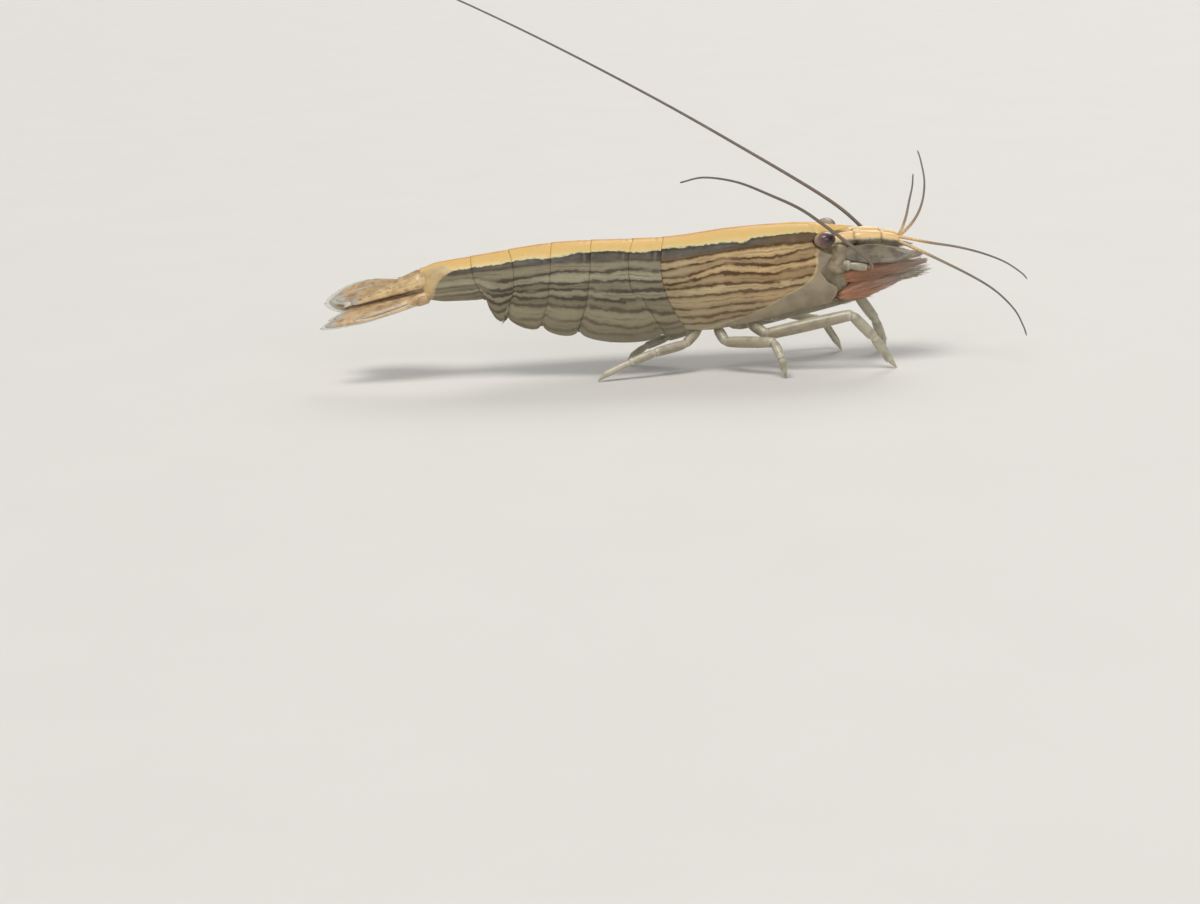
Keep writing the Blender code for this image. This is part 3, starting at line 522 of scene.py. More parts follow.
def node(tree, kind, given=(), stops=(), **settings):
    """Adds one node with its settings, or takes one that is there. Given fills its live inputs in order or by name.

    What is given is a value, a hex colour, a socket, or a node, whose live output is taken. Stops are a ramp's
    (place, colour). A kind may come with its operation.
    """
    if isinstance(kind, tuple):
        kind, settings["operation"] = kind
    made = tree.nodes.new(kind) if isinstance(kind, str) else kind
    for key, value in settings.items():
        setattr(made, key, value)
    for k, (place, shade) in enumerate(stops):
        marks = made.color_ramp.elements
        mark = marks[k] if k < 2 else marks.new(place)
        mark.position, mark.color = place, linear(shade)
    live = [socket for socket in made.inputs if socket.enabled]
    for key, value in given.items() if isinstance(given, dict) else enumerate(given):
        target = live[key] if isinstance(key, int) else next(socket for socket in live if socket.name == key)
        if isinstance(value, bpy.types.Node):
            value = next(socket for socket in value.outputs if socket.enabled)
        if isinstance(value, bpy.types.NodeSocket):
            tree.links.new(value, target)
        else:
            target.default_value = linear(value) if target.type == "RGBA" else value
    return made


def begun(name, *carried):
    """A new material, its tree, and the values that the mesh carries under the names given."""
    made = bpy.data.materials.new(name)
    made.use_nodes = True
    tree = made.node_tree
    return made, tree, *(node(tree, CARRIED, attribute_name=key).outputs["Fac"] for key in carried)


def closed(made, body, rough, coat, clear, depth, relief=None, ior=1.5, level=0.5):
    """Ends a material with its colour and gloss, the share of light that goes in and how far in mm, and its relief.

    A relief is its height, its strength and how deep it goes in mm.
    """
    tree = made.node_tree
    held = {
        "Base Color": body, "IOR": ior, "Specular IOR Level": level, "Roughness": rough, "Coat Weight": coat,
        "Coat Roughness": 0.16, "Subsurface Weight": clear, "Subsurface Radius": (1.0, 0.78, 0.55),
        "Subsurface Scale": depth * MM,
    }
    if relief:
        height, strength, deep = relief
        held["Normal"] = node(tree, "ShaderNodeBump", {"Height": height, "Strength": strength, "Distance": deep * MM})
    node(tree, tree.nodes["Principled BSDF"], held)
    return made


def grain(tree, pitch, detail=3.0, stretch=(1.0, 1.0, 1.0), place=None):
    """Noise whose lumps are pitch millimetres across, in the frame or along a vector in millimetres.

    The finest grain of the shell is drawn coarser than in life so that it shows.
    """
    scaled = node(tree, "ShaderNodeMapping", {"Vector": place or node(tree, PLACE).outputs["Object"], "Scale": stretch})
    scale = 1 / pitch if place else 1 / (pitch * MM)
    return node(tree, "ShaderNodeTexNoise", {"Vector": scaled, "Scale": scale, "Detail": detail, "Roughness": 0.55})


def mask(tree, *parts):
    """The product of its parts: values, and smooth ramps as (value, low, high) or (value, low, high, start, end)."""
    share = None
    for part in parts:
        if isinstance(part, tuple):
            part = node(tree, RANGE, part, interpolation_type="SMOOTHSTEP")
        share = part if share is None else node(tree, TIMES, (share, part))
    return share


def laid(tree, under, over, *parts, how="MIX"):
    """A colour laid over another where the mask of the parts says."""
    return node(tree, MIX, (mask(tree, *parts), under, over), data_type="RGBA", blend_type=how)


def painted(tree, body, *coats):
    """A colour under several coats laid one after another, each a colour and the parts of its mask."""
    for shade, *parts in coats:
        body = laid(tree, body, shade, *parts)
    return body


def mixed(a, b, share):
    """A colour between two, worked out once."""
    return tuple(p + (q - p) * share for p, q in zip(linear(a), linear(b)))


def darker(shade, by):
    """A colour with its brightness multiplied."""
    return tuple(min(c * by, 1.0) for c in linear(shade)[:3]) + (1.0,)


def ribs_along(tree, across):
    """Height of the ribs that run along a blade, from 0 between two of them to 0.5 on each."""
    return node(tree, FOLDED, (node(tree, TIMES, (across, 5.0)), 0.5))


def shell_finish(name, fills, inks, last, patch, edge):
    """Calcified chitin grown in a thin sheet: wet, smooth, faintly see-through, with pigment just under its gloss.

    The pigment lies in wavering dark lines, which run at the whole numbers of the value "phase"; fills gives the
    ground between them and inks the lines themselves, both as (phase, colour). The bare patch has a pale edge.
    """
    made, tree, phase, spacing, along, rim, bare = begun(name, "phase", "spacing", "along", "rim", "patch")
    s = sizes()
    wobble = s["line_wobble"] * 1.6
    ragged = grain(tree, 0.42, 2.0, (0.7, 1, 1))
    stray = node(tree, TIMES_PLUS, (ragged, 0.5, grain(tree, 1.3, 2.0, (0.6, 1, 1))))
    stray = node(tree, TIMES_PLUS, (stray, wobble, -0.75 * wobble))
    stray = node(tree, OVER, (stray, node(tree, LARGER, (spacing, 0.35))))
    frayed = node(tree, MINUS, (grain(tree, 0.5, 5.0), 0.5))
    frayed = node(tree, TIMES_PLUS, (frayed, mask(tree, (phase, 0.5, 0.1, 0.0, 0.32)), stray))
    course = node(tree, PLUS, (phase, frayed))
    nearest = node(tree, FOLDED, (course, 0.5))
    away = node(tree, TIMES, (nearest, spacing))
    middle = node(tree, TIMES, (node(tree, MINUS, (0.5, nearest)), spacing))
    uneven = grain(tree, 0.9, 3.0, (0.6, 1, 1))
    thick = node(tree, TIMES_PLUS, (uneven, 0.3, s["line_width"] / 2 - 0.16))
    away = node(tree, MINUS, (away, thick))
    line = mask(tree, (away, -0.05, 0.08, 1.0, 0.0))
    faint = mask(tree, (middle, 0.02, 0.14, 1.0, 0.0), (grain(tree, 1.5, 2.0, (0.35, 1, 1)), 0.42, 0.62, 0.0, 0.5))
    for more in (mask(tree, (away, 0.0, 0.3, 0.42, 0.0)), faint):
        line = node(tree, LARGER, (line, more))
    broken = (grain(tree, 1.7, 2.0, (0.5, 1, 1)), 0.3, 0.5, 0.5, 1.0)
    ends = ((course, 0.2, 0.7), (course, last + 0.3, last + 0.5, 1.0, 0.0), (along, 0.03, 0.2, 0.35, 1.0))
    line = mask(tree, line, broken, *ends)
    reach = last + 2.0
    share = node(tree, TIMES_PLUS, (course, 1 / reach, 1 / reach))
    ground, ink = (node(tree, RAMP, (share,), [((p + 1) / reach, c) for p, c in marks]) for marks in (fills, inks))
    below, banded = (course, 0.0, 0.4), (course, 1.4, 0.7)
    spots = {"Vector": node(tree, PLACE).outputs["Object"], "Scale": 1 / (0.42 * MM)}
    dots = (node(tree, CELLS, spots).outputs["Distance"], 0.10, 0.2, 0.45, 0.0)
    bare = node(tree, TIMES_PLUS, (ragged, 0.5, bare))
    body = painted(
        tree, ground,
        ("#6E5236", (along, 0.78, 0.9, 0.0, 0.75), (course, 1.1, 0.7), (course, 0.0, 0.15)),
        ("#5E5648", (grain(tree, 1.0, 4.0, (0.6, 1, 1)), 0.42, 0.6, 0.0, 0.35), below, banded),
        ("#7D7058", (grain(tree, 2.6, 4.0, (0.45, 1, 1)), 0.32, 0.7, 0.0, 0.3), below),
        ("#918C74", (along, 0.84, 0.56, 0.0, 0.5), (course, 0.8, 1.4)),
        (ink, line),
        ("#4E3A2C", dots, (grain(tree, 1.3), 0.45, 0.6)),
        (edge, (bare, 0.35, 0.62, 0.0, 0.6)),
        (laid(tree, patch, darker(patch, 0.76), (grain(tree, 1.5, 5.0), 0.35, 0.7)), (bare, 0.62, 0.95)),
    )
    body = laid(tree, body, "#C0AE92", (rim, 0.0, 0.12, 0.4, 0.0), how="MULTIPLY")
    pits = node(tree, TIMES_PLUS, (grain(tree, 0.28, 2.0), 0.5, grain(tree, 1.0, 3.0)))
    rough = mask(tree, (grain(tree, 0.7), 0.2, 0.8, 0.34, 0.5))
    return closed(made, body, rough, 0.05, 0.16, 0.6, (pits, 0.35, 0.06), ior=1.45, level=0.22)


def carapace_finish():
    """The shell of head and thorax: cream back, dark band, tan flanks with dark lines in pairs."""
    stripe, rim, shade = colour("stripe"), colour("stripe_rim"), colour("shade")
    ground, belly, line = colour("ground"), colour("belly"), colour("line")
    filled, pale = mixed(ground, "#6B543A", 0.42), mixed(ground, "#E2D3AE", 0.3)
    fills = (
        (-1.0, "#D08F4A"), (-0.86, stripe), (-0.2, mixed(stripe, rim, 0.3)), (-0.06, rim), (0.03, "#2A2A24"),
        (0.16, shade), (0.8, mixed(shade, ground, 0.1)), (1.08, mixed(shade, ground, 0.5)), (1.3, ground),
        (1.92, ground), (2.06, filled), (2.94, filled), (3.08, ground), (3.92, ground), (4.06, filled),
        (4.94, filled), (5.08, pale), (5.9, pale), (6.08, mixed(ground, filled, 0.5)),
        (6.92, mixed(ground, belly, 0.4)), (7.1, mixed(pale, belly, 0.3)), (8.0, mixed(ground, belly, 0.5)),
        (9.0, mixed(ground, belly, 0.6)), (9.25, mixed(belly, "#E2D3AE", 0.2)), (9.6, belly), (9.75, "#C6B893"),
    )
    soft = mixed(line, belly, 0.3)
    inks = ((-1.0, "#3E3C36"), (0.5, "#3E3C36"), (0.9, line), (4.0, line), (6.0, mixed(line, soft, 0.6)), (10.0, soft))
    return shell_finish("chitin_carapace_grown", fills, inks, 9.0, belly, pale)


def abdomen_finish():
    """The shell of the tail rings: cream back and grey-olive flanks with softer lines."""
    stripe, rim, belly = colour("stripe"), colour("stripe_rim"), colour("belly")
    ground = mixed("#8D866F", colour("ground"), 0.12)
    filled, pale = mixed(ground, "#5C4C3E", 0.72), mixed(ground, "#BDB59A", 0.7)
    fills = (
        (-1.0, "#D08F4A"), (-0.86, stripe), (-0.15, mixed(stripe, rim, 0.3)), (-0.05, rim), (0.04, "#2C2A24"),
        (0.2, "#2E2923"), (0.8, "#423C31"), (1.1, filled), (1.9, mixed(ground, filled, 0.6)), (2.08, ground),
        (2.92, pale), (3.06, filled), (3.94, filled), (4.08, pale), (4.92, ground), (5.08, filled), (5.9, filled),
        (6.1, mixed(ground, belly, 0.4)), (7.0, mixed(filled, belly, 0.6)), (8.0, "#7A7064"), (8.6, "#716C63"),
        (9.4, "#85827A"),
    )
    line = mixed(colour("line"), "#4C473E", 0.8)
    soft = mixed(line, ground, 0.3)
    inks = ((-1.0, "#4B473F"), (1.5, line), (5.0, line), (7.0, soft), (10.0, mixed(soft, ground, 0.3)))
    return shell_finish("chitin_tail_ring_grown", fills, inks, 8.0, "#C8AE80", "#CDB486")


def limb_finish(name, base, pale, dark, streaks=0.3):
    """Thin uncalcified chitin of a jointed limb: glassy, with cloudy muscle seen through it and darker joints. Its
    upper side is painted paler, as painted light from above, and a pale cuff by each joint is a painted highlight.
    """
    made, tree, span, lap, joint, above, share = begun(name, "span", "lap", "joint", "above", "share")
    round_it = node(tree, TIMES, (lap, 4.0))
    strand = node(tree, "ShaderNodeCombineXYZ", (span, round_it, above)).outputs[0]
    body = painted(
        tree, base,
        (dark, (grain(tree, 0.5, 3.0, (0.35, 1.6, 1.6), strand), 0.35, 0.68, 0.0, streaks)),
        (pale, (share, 0.45, 0.85, 0.0, 0.4)),
        # painted light: the side of the limb that faces up is laid paler, as if lit from above
        (pale, (above, 0.1, 0.95, 0.0, 0.45)),
        (dark, (grain(tree, 0.9, 4.0), 0.48, 0.66, 0.0, 0.4)),
        # painted highlight: a pale cuff beside each joint
        (pale, (joint, 0.12, 0.5, 0.32, 0.0)),
        (dark, (joint, 0.0, 0.1, 0.3, 0.0)),
    )
    return closed(made, body, 0.34, 0.3, 0.35, 0.8, (grain(tree, 0.3), 0.3, 0.05))


def stalk_finish():
    """Jointed base of the antennules: cream pigment laid along its upper side, glassy grey below."""
    made, tree, above, joint = begun("chitin_antennule_base_grown", "above", "joint")
    wavy = node(tree, TIMES_PLUS, (grain(tree, 0.5), 0.8, above))
    body = painted(
        tree, "#8A8069",
        ("#6A604C", (grain(tree, 0.8, 4.0), 0.4, 0.65)),
        ("#CDBD94", (wavy, 0.15, 0.5)),
        (colour("cream"), (wavy, 0.4, 0.7)),
        ("#8B6F4B", (joint, 0.05, 0.2, 0.55, 0.0)),
    )
    return closed(made, body, 0.33, 0.35, 0.2, 0.6, (grain(tree, 0.3), 0.25, 0.05))


def feeler_finish(name, *marks):
    """Flexible ringed chitin of a whip: matt grey-brown, each ring a little swollen, with a coloured root."""
    made, tree, span, share = begun(name, "span", "share")
    ring = node(tree, FOLDED, (span, sizes()["ring_pitch"] / 2))
    body = painted(
        tree, node(tree, RAMP, (share,), marks),
        ("#4A4038", (ring, 0.02, 0.09, 0.22, 0.0)),
        ("#8C8173", (grain(tree, 1.4), 0.35, 0.7, 0.0, 0.25)),
    )
    return closed(made, body, 0.45, 0.15, 0.1, 0.3)


def tail_finish():
    """Blades of the tail fan: thin horny chitin, tan with brown blotches, fading to bluish glass at the tips."""
    made, tree, share, across, crown = begun("chitin_tail_blade_grown", "share", "across", "crown")
    ribs = ribs_along(tree, across)
    rim = mask(tree, (node(tree, UNSIGNED, (across,)), 0.84, 0.98, 0.0, 0.7))
    glass = node(tree, LARGER, (mask(tree, (share, 0.82, 0.97)), rim))
    body = painted(
        tree, "#C2A479",
        (colour("tail"), crown),
        ("#A98B66", (grain(tree, 1.6, 4.0), 0.38, 0.66, 0.0, 0.8)),
        ("#7C5F43", (grain(tree, 0.6, 4.0, (0.6, 1, 1)), 0.5, 0.62, 0.0, 0.5)),
        ("#76603F", (ribs, 0.0, 0.14, 0.22, 0.0)),
        ("#A9ADA4", (glass, 0.0, 1.0, 0.0, 0.75)),
    )
    height = node(tree, TIMES_PLUS, (ribs, 0.8, grain(tree, 0.35)))
    return closed(made, body, 0.38, 0.22, 0.2, 0.5, (height, 0.4, 0.07))


def scale_finish():
    """Blade beside the feelers: clear thin chitin, grey-green with fine brown specks and paler ribs."""
    made, tree, share, across = begun("chitin_antennal_scale_grown", "share", "across")
    ribs = ribs_along(tree, across)
    body = painted(
        tree, "#7F7460",
        ("#564C3E", (grain(tree, 1.2, 4.0), 0.35, 0.66)),
        ("#4A3C30", (grain(tree, 0.28, 2.0), 0.62, 0.7, 0.0, 0.35)),
        ("#A8A590", (ribs, 0.3, 0.5, 0.0, 0.12)),
        ("#8F8B7C", (share, 0.75, 1.0, 0.0, 0.4)),
    )
    return closed(made, body, 0.34, 0.35, 0.3, 0.5, (ribs, 0.3, 0.06))


def flesh_finish():
    """Soft skin between the plates: folded membrane, moist and cloudy grey-green with brown freckles."""
    made, tree = begun("membrane_head_and_belly")
    body = painted(
        tree, "#A6977B",
        ("#7E735C", (grain(tree, 1.3, 4.0), 0.35, 0.65)),
        ("#B9AF93", (grain(tree, 0.7, 3.0), 0.56, 0.68, 0.0, 0.4)),
        ("#4B3D30", (grain(tree, 0.34, 2.0), 0.62, 0.7, 0.0, 0.35)),
    )
    return closed(made, body, 0.42, 0.2, 0.3, 0.8, (grain(tree, 0.45, 4.0), 0.55, 0.12), ior=1.42)


def cornea_finish():
    """Cornea of a compound eye: a very smooth clear dome of tiny facets over dark pigment, with a pale rim."""
    made, tree, turn = begun("cornea_faceted", "turn")
    wavy = node(tree, TIMES_PLUS, (grain(tree, 0.5), 0.16, turn))
    place = node(tree, TIMES_PLUS, (wavy, 1 / math.pi, -0.08 / math.pi))
    marks = (
        (0.0, "#221817"), (0.09, "#2A1E1D"), (0.15, colour("eye")), (0.29, "#6A504B"), (0.38, "#7E625A"),
        (0.45, "#A08570"), (0.54, "#A8957F"), (0.7, "#877862"), (1.0, "#6F6353"),
    )
    body = node(tree, RAMP, (place,), marks)
    facets = {"Vector": node(tree, PLACE).outputs["Object"], "Scale": 1 / (sizes()["facet"] * MM), "Randomness": 0.25}
    dome = node(tree, MINUS, (1.0, node(tree, CELLS, facets).outputs["Distance"]))
    return closed(made, body, 0.27, 0.28, 0.0, 0.1, (dome, 0.12, 0.02), ior=1.45)


def bristle_finish(name, root, tip, streak):
    """Hairs of chitin: fine, horny and a little glossy, each its own shade, darker or paler towards its tip."""
    made, tree, place, shade, strand = begun(name, "place", "shade", "strand")
    body = painted(
        tree, root,
        (tip, (place, 0.1, 0.95)),
        (streak, (shade, 0.35, 0.9, 0.0, 0.6)),
        ("#A08A7C", (strand, 0.3, 1.0, 0.0, 0.35)),
    )
    return closed(made, body, 0.5, 0.1, 0.1, 0.3)


# ---- Bristles by Geometry Nodes ----
STORE, NAMED, ALIGN = (
    "GeometryNodeStoreNamedAttribute", "GeometryNodeInputNamedAttribute", "FunctionNodeAlignRotationToVector"
)
XYZ = "ShaderNodeCombineXYZ"


def bristle_tree():
    """The tree that puts one curved, tapering hair on each point of a mesh.

    A point carries its hair's direction "aim", the side it bows to "bow", its length "reach", its shade, its place
    along what it grows from, and "home", where its root lies on the unwrapped skin.
    """
    tree = bpy.data.node_groups.new("hair_on_each_point", "GeometryNodeTree")
    wanted = {
        "Geometry": "Geometry", "Thickness": "Float", "Bend": "Float", "Steps": "Int", "Patch": "Float",
        "Material": "Material",
    }
    for name, kind in wanted.items():
        tree.interface.new_socket(name, in_out="INPUT", socket_type=f"NodeSocket{kind}")
    tree.interface.new_socket("Geometry", in_out="OUTPUT", socket_type="NodeSocketGeometry")
    given = node(tree, "NodeGroupInput").outputs
    aim, bow, home = (node(tree, NAMED, {"Name": key}, data_type="FLOAT_VECTOR") for key in ("aim", "bow", "home"))
    names = ("reach", "corner", "strand")
    reach, corner, strand = (node(tree, NAMED, {"Name": key}, data_type="FLOAT") for key in names)
    line = node(tree, "GeometryNodeCurvePrimitiveLine", {"Start": (0, 0, 0), "End": (0, 0, 1)})
    line = node(tree, "GeometryNodeResampleCurve", {"Curve": line, "Count": given["Steps"]})
    along = node(tree, "GeometryNodeSplineParameter").outputs["Factor"]
    held = {"Geometry": line, "Name": "strand", "Value": along}
    line = node(tree, STORE, held, data_type="FLOAT", domain="POINT")
    taper = node(tree, TIMES_PLUS, (node(tree, POWER, (along, 1.6)), -0.85, 1.0))
    line = node(tree, "GeometryNodeSetCurveRadius", {"Curve": line, "Radius": taper})
    bowed = node(tree, TIMES, (node(tree, POWER, (along, 2.0)), given["Bend"]))
    line = node(tree, "GeometryNodeSetPosition", {"Geometry": line, "Offset": node(tree, XYZ, (bowed,))})
    section = node(tree, "GeometryNodeCurvePrimitiveCircle", {"Resolution": 3, "Radius": given["Thickness"]})
    third = node(tree, OVER, (node(tree, "GeometryNodeInputIndex"), 3.0))
    held = {"Geometry": section, "Name": "corner", "Value": third}
    section = node(tree, STORE, held, data_type="FLOAT", domain="POINT")
    hair = node(tree, "GeometryNodeCurveToMesh", {"Curve": line, "Profile Curve": section, "Fill Caps": True})
    points = node(tree, "GeometryNodeMeshToPoints", {"Mesh": given["Geometry"], "Radius": 0.0001})
    turn = node(tree, ALIGN, {"Vector": aim}, axis="Z")
    turn = node(tree, ALIGN, {"Rotation": turn, "Vector": bow}, axis="X", pivot_axis="Z")
    held = {"Points": points, "Instance": hair, "Rotation": turn, "Scale": reach}
    real = node(tree, "GeometryNodeRealizeInstances", {"Geometry": node(tree, "GeometryNodeInstanceOnPoints", held)})
    held = {0: node(tree, XYZ, {0: corner, 1: strand}), "Scale": given["Patch"]}
    patch = node(tree, "ShaderNodeVectorMath", held, operation="SCALE")
    spot = node(tree, "ShaderNodeVectorMath", {0: patch, 1: home}, operation="ADD")
    held = {"Geometry": real, "Name": "OFBake", "Value": spot}
    real = node(tree, STORE, held, data_type="FLOAT2", domain="CORNER")
    real = node(tree, "GeometryNodeSetShadeSmooth", {"Geometry": real})
    real = node(tree, "GeometryNodeSetMaterial", {"Geometry": real, "Material": given["Material"]})
    node(tree, "NodeGroupOutput", {"Geometry": real})
    return tree


class Hairs:
    """Roots of hairs, gathered in the animal's millimetres before the tree grows them.

    The hairs are drawn thicker than in life so that they show.
    """

    def __init__(self, seed):
        self.rows = []
        self.luck = np.random.default_rng(seed)

    def add(self, root, aim, bow, reach, place, home):
        """One hair: where it grows, where it points, where it bows to, its length, and its place on the skin."""
        self.rows.append((*root, *aim, *bow, reach, place, *home, self.luck.random()))

    def grow(self, name, roll, material, thickness, bend, steps):
        """The finished piece: thickness and bend are shares of each hair's length."""
        rows = np.array(self.rows)
        matrix = in_frame(roll)
        turn, step = np.array(matrix.to_3x3()), np.array(matrix.translation)
        mesh = bpy.data.meshes.new(f"{name}_roots")
        mesh.from_pydata((rows[:, :3] @ turn.T + step).tolist(), [], [])
        vectors = {
            "aim": rows[:, 3:6] @ turn.T / MM, "bow": rows[:, 6:9] @ turn.T / MM,
            "home": rows[:, 11:13] @ np.eye(2, 3),
        }
        for key, held in vectors.items():
            field = mesh.attributes.new(key, "FLOAT_VECTOR", "POINT")
            field.data.foreach_set("vector", held.astype(np.float32).reshape(-1))
        for key, held in {"reach": rows[:, 9] * MM, "place": rows[:, 10], "shade": rows[:, 13]}.items():
            mesh.attributes.new(key, "FLOAT", "POINT").data.foreach_set("value", held.astype(np.float32))
        roots = placed(f"{name}_roots", mesh)
        tree = bpy.data.node_groups.get("hair_on_each_point") or bristle_tree()
        grower = roots.modifiers.new("hairs", "NODES")
        grower.node_group = tree
        codes = {item.name: item.identifier for item in tree.interface.items_tree if item.in_out == "INPUT"}
        given = {"Thickness": thickness, "Bend": bend, "Steps": steps, "Patch": BAKE_PATCH, "Material": material}
        for key, held in given.items():
            grower[codes[key]] = held
        grown = evaluated(roots)
        roots.modifiers.remove(grower)
        bpy.data.objects.remove(roots)
        grown.name = name
        show(name, grown, material, ())


# ---- Body plates ----
def arch(x, share, low):
    """Points on the outside of the body: share runs from -1 to 1, edge to edge over the back."""
    turn = np.abs(share) * WRAP
    rise = (back_height(x) - low) / (1 - math.cos(WRAP))
    y = half_width(x) * np.sin(turn) * np.sign(share)
    return np.stack([x + 0 * y, y, back_height(x) - rise * (1 - np.cos(turn))], axis=-1)


def line_phase(lines, x, share):
    """The number of the dark line at each point, running evenly from one line to the next, and their spacing in mm."""
    share = np.abs(share)
    courses = [smooth(line)(x) for line in lines]
    arc = WIDEST_ARC * half_width(x) / WIDEST
    phase = share / courses[0] - 1
    spacing = courses[0] * arc
    for number, (above, below) in enumerate(zip(courses, courses[1:])):
        gap = np.maximum(below - above, 0.012)
        inside = share >= above
        phase = np.where(inside, number + (share - above) / gap, phase)
        spacing = np.where(inside, gap * arc, spacing)
    last = courses[-1]
    beyond = share >= last
    phase = np.where(beyond, len(courses) - 1 + (share - last) / LAST_GAP, phase)
    return phase, np.where(beyond, LAST_GAP * arc, spacing)


def add_shell(shape, points, height, lines, x, share, rim, patch):
    """A body plate whose sheet of points is raised by a height, with its dark lines, pale rim and bare patch."""
    phase, spacing = line_phase(lines, x, share)
    points = points + sheet_normals(points) * height[..., None]
    along = (x - TAIL_END) / BODY_LENGTH
    shape.plate(points, sizes()["shell_wall"], phase=phase, spacing=spacing, along=along, rim=rim, patch=patch)


def seam(index, shift, share):
    """The line of a seam round the body, moved by shift, as x at each share of the wrap."""
    back, hinge, edge, _ = SEAMS[index]
    return smooth(((0.0, back), (HINGE_SHARE, hinge), (1.0, edge)))(np.abs(share)) + shift


def make_carapace(material):
    """The shield over head and thorax with its eye notches, spines, grooves and beak."""
    share, step = np.meshgrid(np.linspace(-1, 1, 201), np.linspace(0, 1, 96))
    u = np.abs(share)
    notch = 0.85 * ease(0.56, 0.66, u) * (1 - 0.75 * ease(0.74, 0.83, u))
    front = smooth(CARAPACE_FRONT)(u) + 0.6 * hump(u, 0.5, 0.02) - notch
    rear = seam(0, 0.15 - sizes()["plate_overlap"], share)
    x = front + (rear - front) * step
    length = front - rear
    groove = -0.1 * hump(u, 0.47 + 0.012 * (17 - x), 0.025) * ease(6.5, 12.5, x) * ease(17.6, 16.5, x)
    groove += -0.12 * hump(x, 13.4 - 2.2 * (u - 0.3), 0.45) * ease(0.2, 0.4, u) * ease(0.72, 0.55, u)
    bead = 0.02 * hump(step * length, 0.12, 0.12) + 0.03 * hump(u, 0.985, 0.015)
    swell = 0.05 * np.sin(x * 1.1 + 3 * u) * ease(0.3, 0.6, u)
    sunk = 0.16 * ease(1.1, 0.0, step * length) * ease(0.26, 0.2, u)
    height = groove + bead + swell - sunk
    rim = np.minimum((1 - step) * length, step * length + 0.04 + (u < 0.3))
    bare = ease(-0.5, 0.7, x - smooth(BARE_PATCH_EDGE)(u))
    shape = Shape()
    add_shell(shape, arch(x, share, carapace_edge(x)), height, CARAPACE_LINES, x, share, rim, bare)
    add_rostrum(shape)
    finished("carapace", "shell", shape, BODY_ROLL, material)


def add_rostrum(shape):
    """The pointed beak that grows out of the midline of the carapace, ridged along both sides."""
    share = np.linspace(0, 1, 60)
    x = ROSTRUM_ROOT_X + (ROSTRUM_TIP[0] - ROSTRUM_ROOT_X) * share
    crest = np.minimum(back_height(x) + 0.16 * np.sin(np.pi * share), 15.84)
    top = crest * (1 - share**2.6) + ROSTRUM_TIP[1] * share**2.6 - 0.05 * ease(0.5, 0.75, share)
    top = top + 0.04 * np.maximum(np.sin(share * 60), 0) * ease(0.35, 0.5, share) * ease(0.97, 0.9, share)
    wide, drop = smooth(ROSTRUM_WIDTH)(x), smooth(ROSTRUM_DEPTH)(x)
    turns = circle(28)
    side = np.abs(np.cos(turns))[None, :]
    round_off = (2.0 - 0.9 * ease(16.6, 18.6, x))[:, None]
    roof = np.where(np.sin(turns) > 0, 1 - side**round_off, 0.45 * np.sin(turns))
    height = (top - drop)[:, None] + drop[:, None] * roof
    phase = np.where(np.sin(turns) > 0, -0.94 + 0.84 * side, -0.24 - 0.5 * roof)
    rings = np.stack([x[:, None] + 0 * turns, wide[:, None] * np.cos(turns), height], axis=-1)
    shape.tube(rings, phase=phase, spacing=3.0, along=0.98, rim=2.0)


def make_abdomen(material):
    """Six rings behind the carapace. Each runs back over the next, and the second flap lies over both neighbours."""
    share, step = np.meshgrid(np.linspace(-1, 1, 141), np.linspace(0, 1, 46))
    u = np.abs(share)
    flap = ease(0.55, 0.75, u)
    for ring in range(6):
        second, last = ring == 1, ring == 5
        forward = -0.15 + 0.55 * (1 - flap) + (0.45 * flap if second else 0.25 * flap)
        back = 0.1 if last else sizes()["plate_overlap"] * (1 - 0.4 * flap)
        front = seam(ring, 0, share) + forward
        rear = seam(ring + 1, 0.15, share) - back
        x = front + (rear - front) * step
        start, end = seam(ring, -0.15, share), seam(ring + 1, 0.15, share)
        body_step = np.clip((start - x) / (start - end), 0, 1)
        low = SEAMS[ring][3] + (SEAMS[ring + 1][3] - SEAMS[ring][3]) * body_step
        low = low - FLAP_DROP[ring] * np.sqrt(np.maximum(4 * body_step * (1 - body_step), 0)) * ease(0.35, 0.9, u)
        length = front - rear
        tuck = 0.12 * (1 - ease(0.3, 1.5, step * length))
        lift = -0.3 * ease(0.7, 1.0, step) if last else 0.02 * ease(0.6, 1.0, step)
        if second:
            tuck = tuck * (1 - flap) - 0.16 * flap * (1 - ease(0.3, 1.4, step * length))
            lift = lift + 0.1 * flap
        furrow = -0.03 * hump(step * length, 1.6, 0.22) * ease(0.0, 0.15, step)
        boss = 0.0 if last else 0.1 * hump(u, HINGE_SHARE + 0.06, 0.03) * hump((1 - step) * length, 0.75, 0.35)
        fold = -0.06 * hump(u, 0.72, 0.03) * np.sin(np.pi * step)
        height = lift - tuck + furrow + boss + fold + 0.03 * hump(u, 0.985, 0.015)
        rim = (1 - step) * length + 0.2 * last
        capped = ease(-0.6, 0.6, smooth(TAIL_CAP_EDGE)(u) - x) * ease(0.02, 0.4, u)
        shape = Shape()
        add_shell(shape, arch(x, share, low), height, ABDOMEN_LINES, x, share, rim, capped)
        finished(f"abdomen_{ring + 1}", "shell", shape, BODY_ROLL, material)


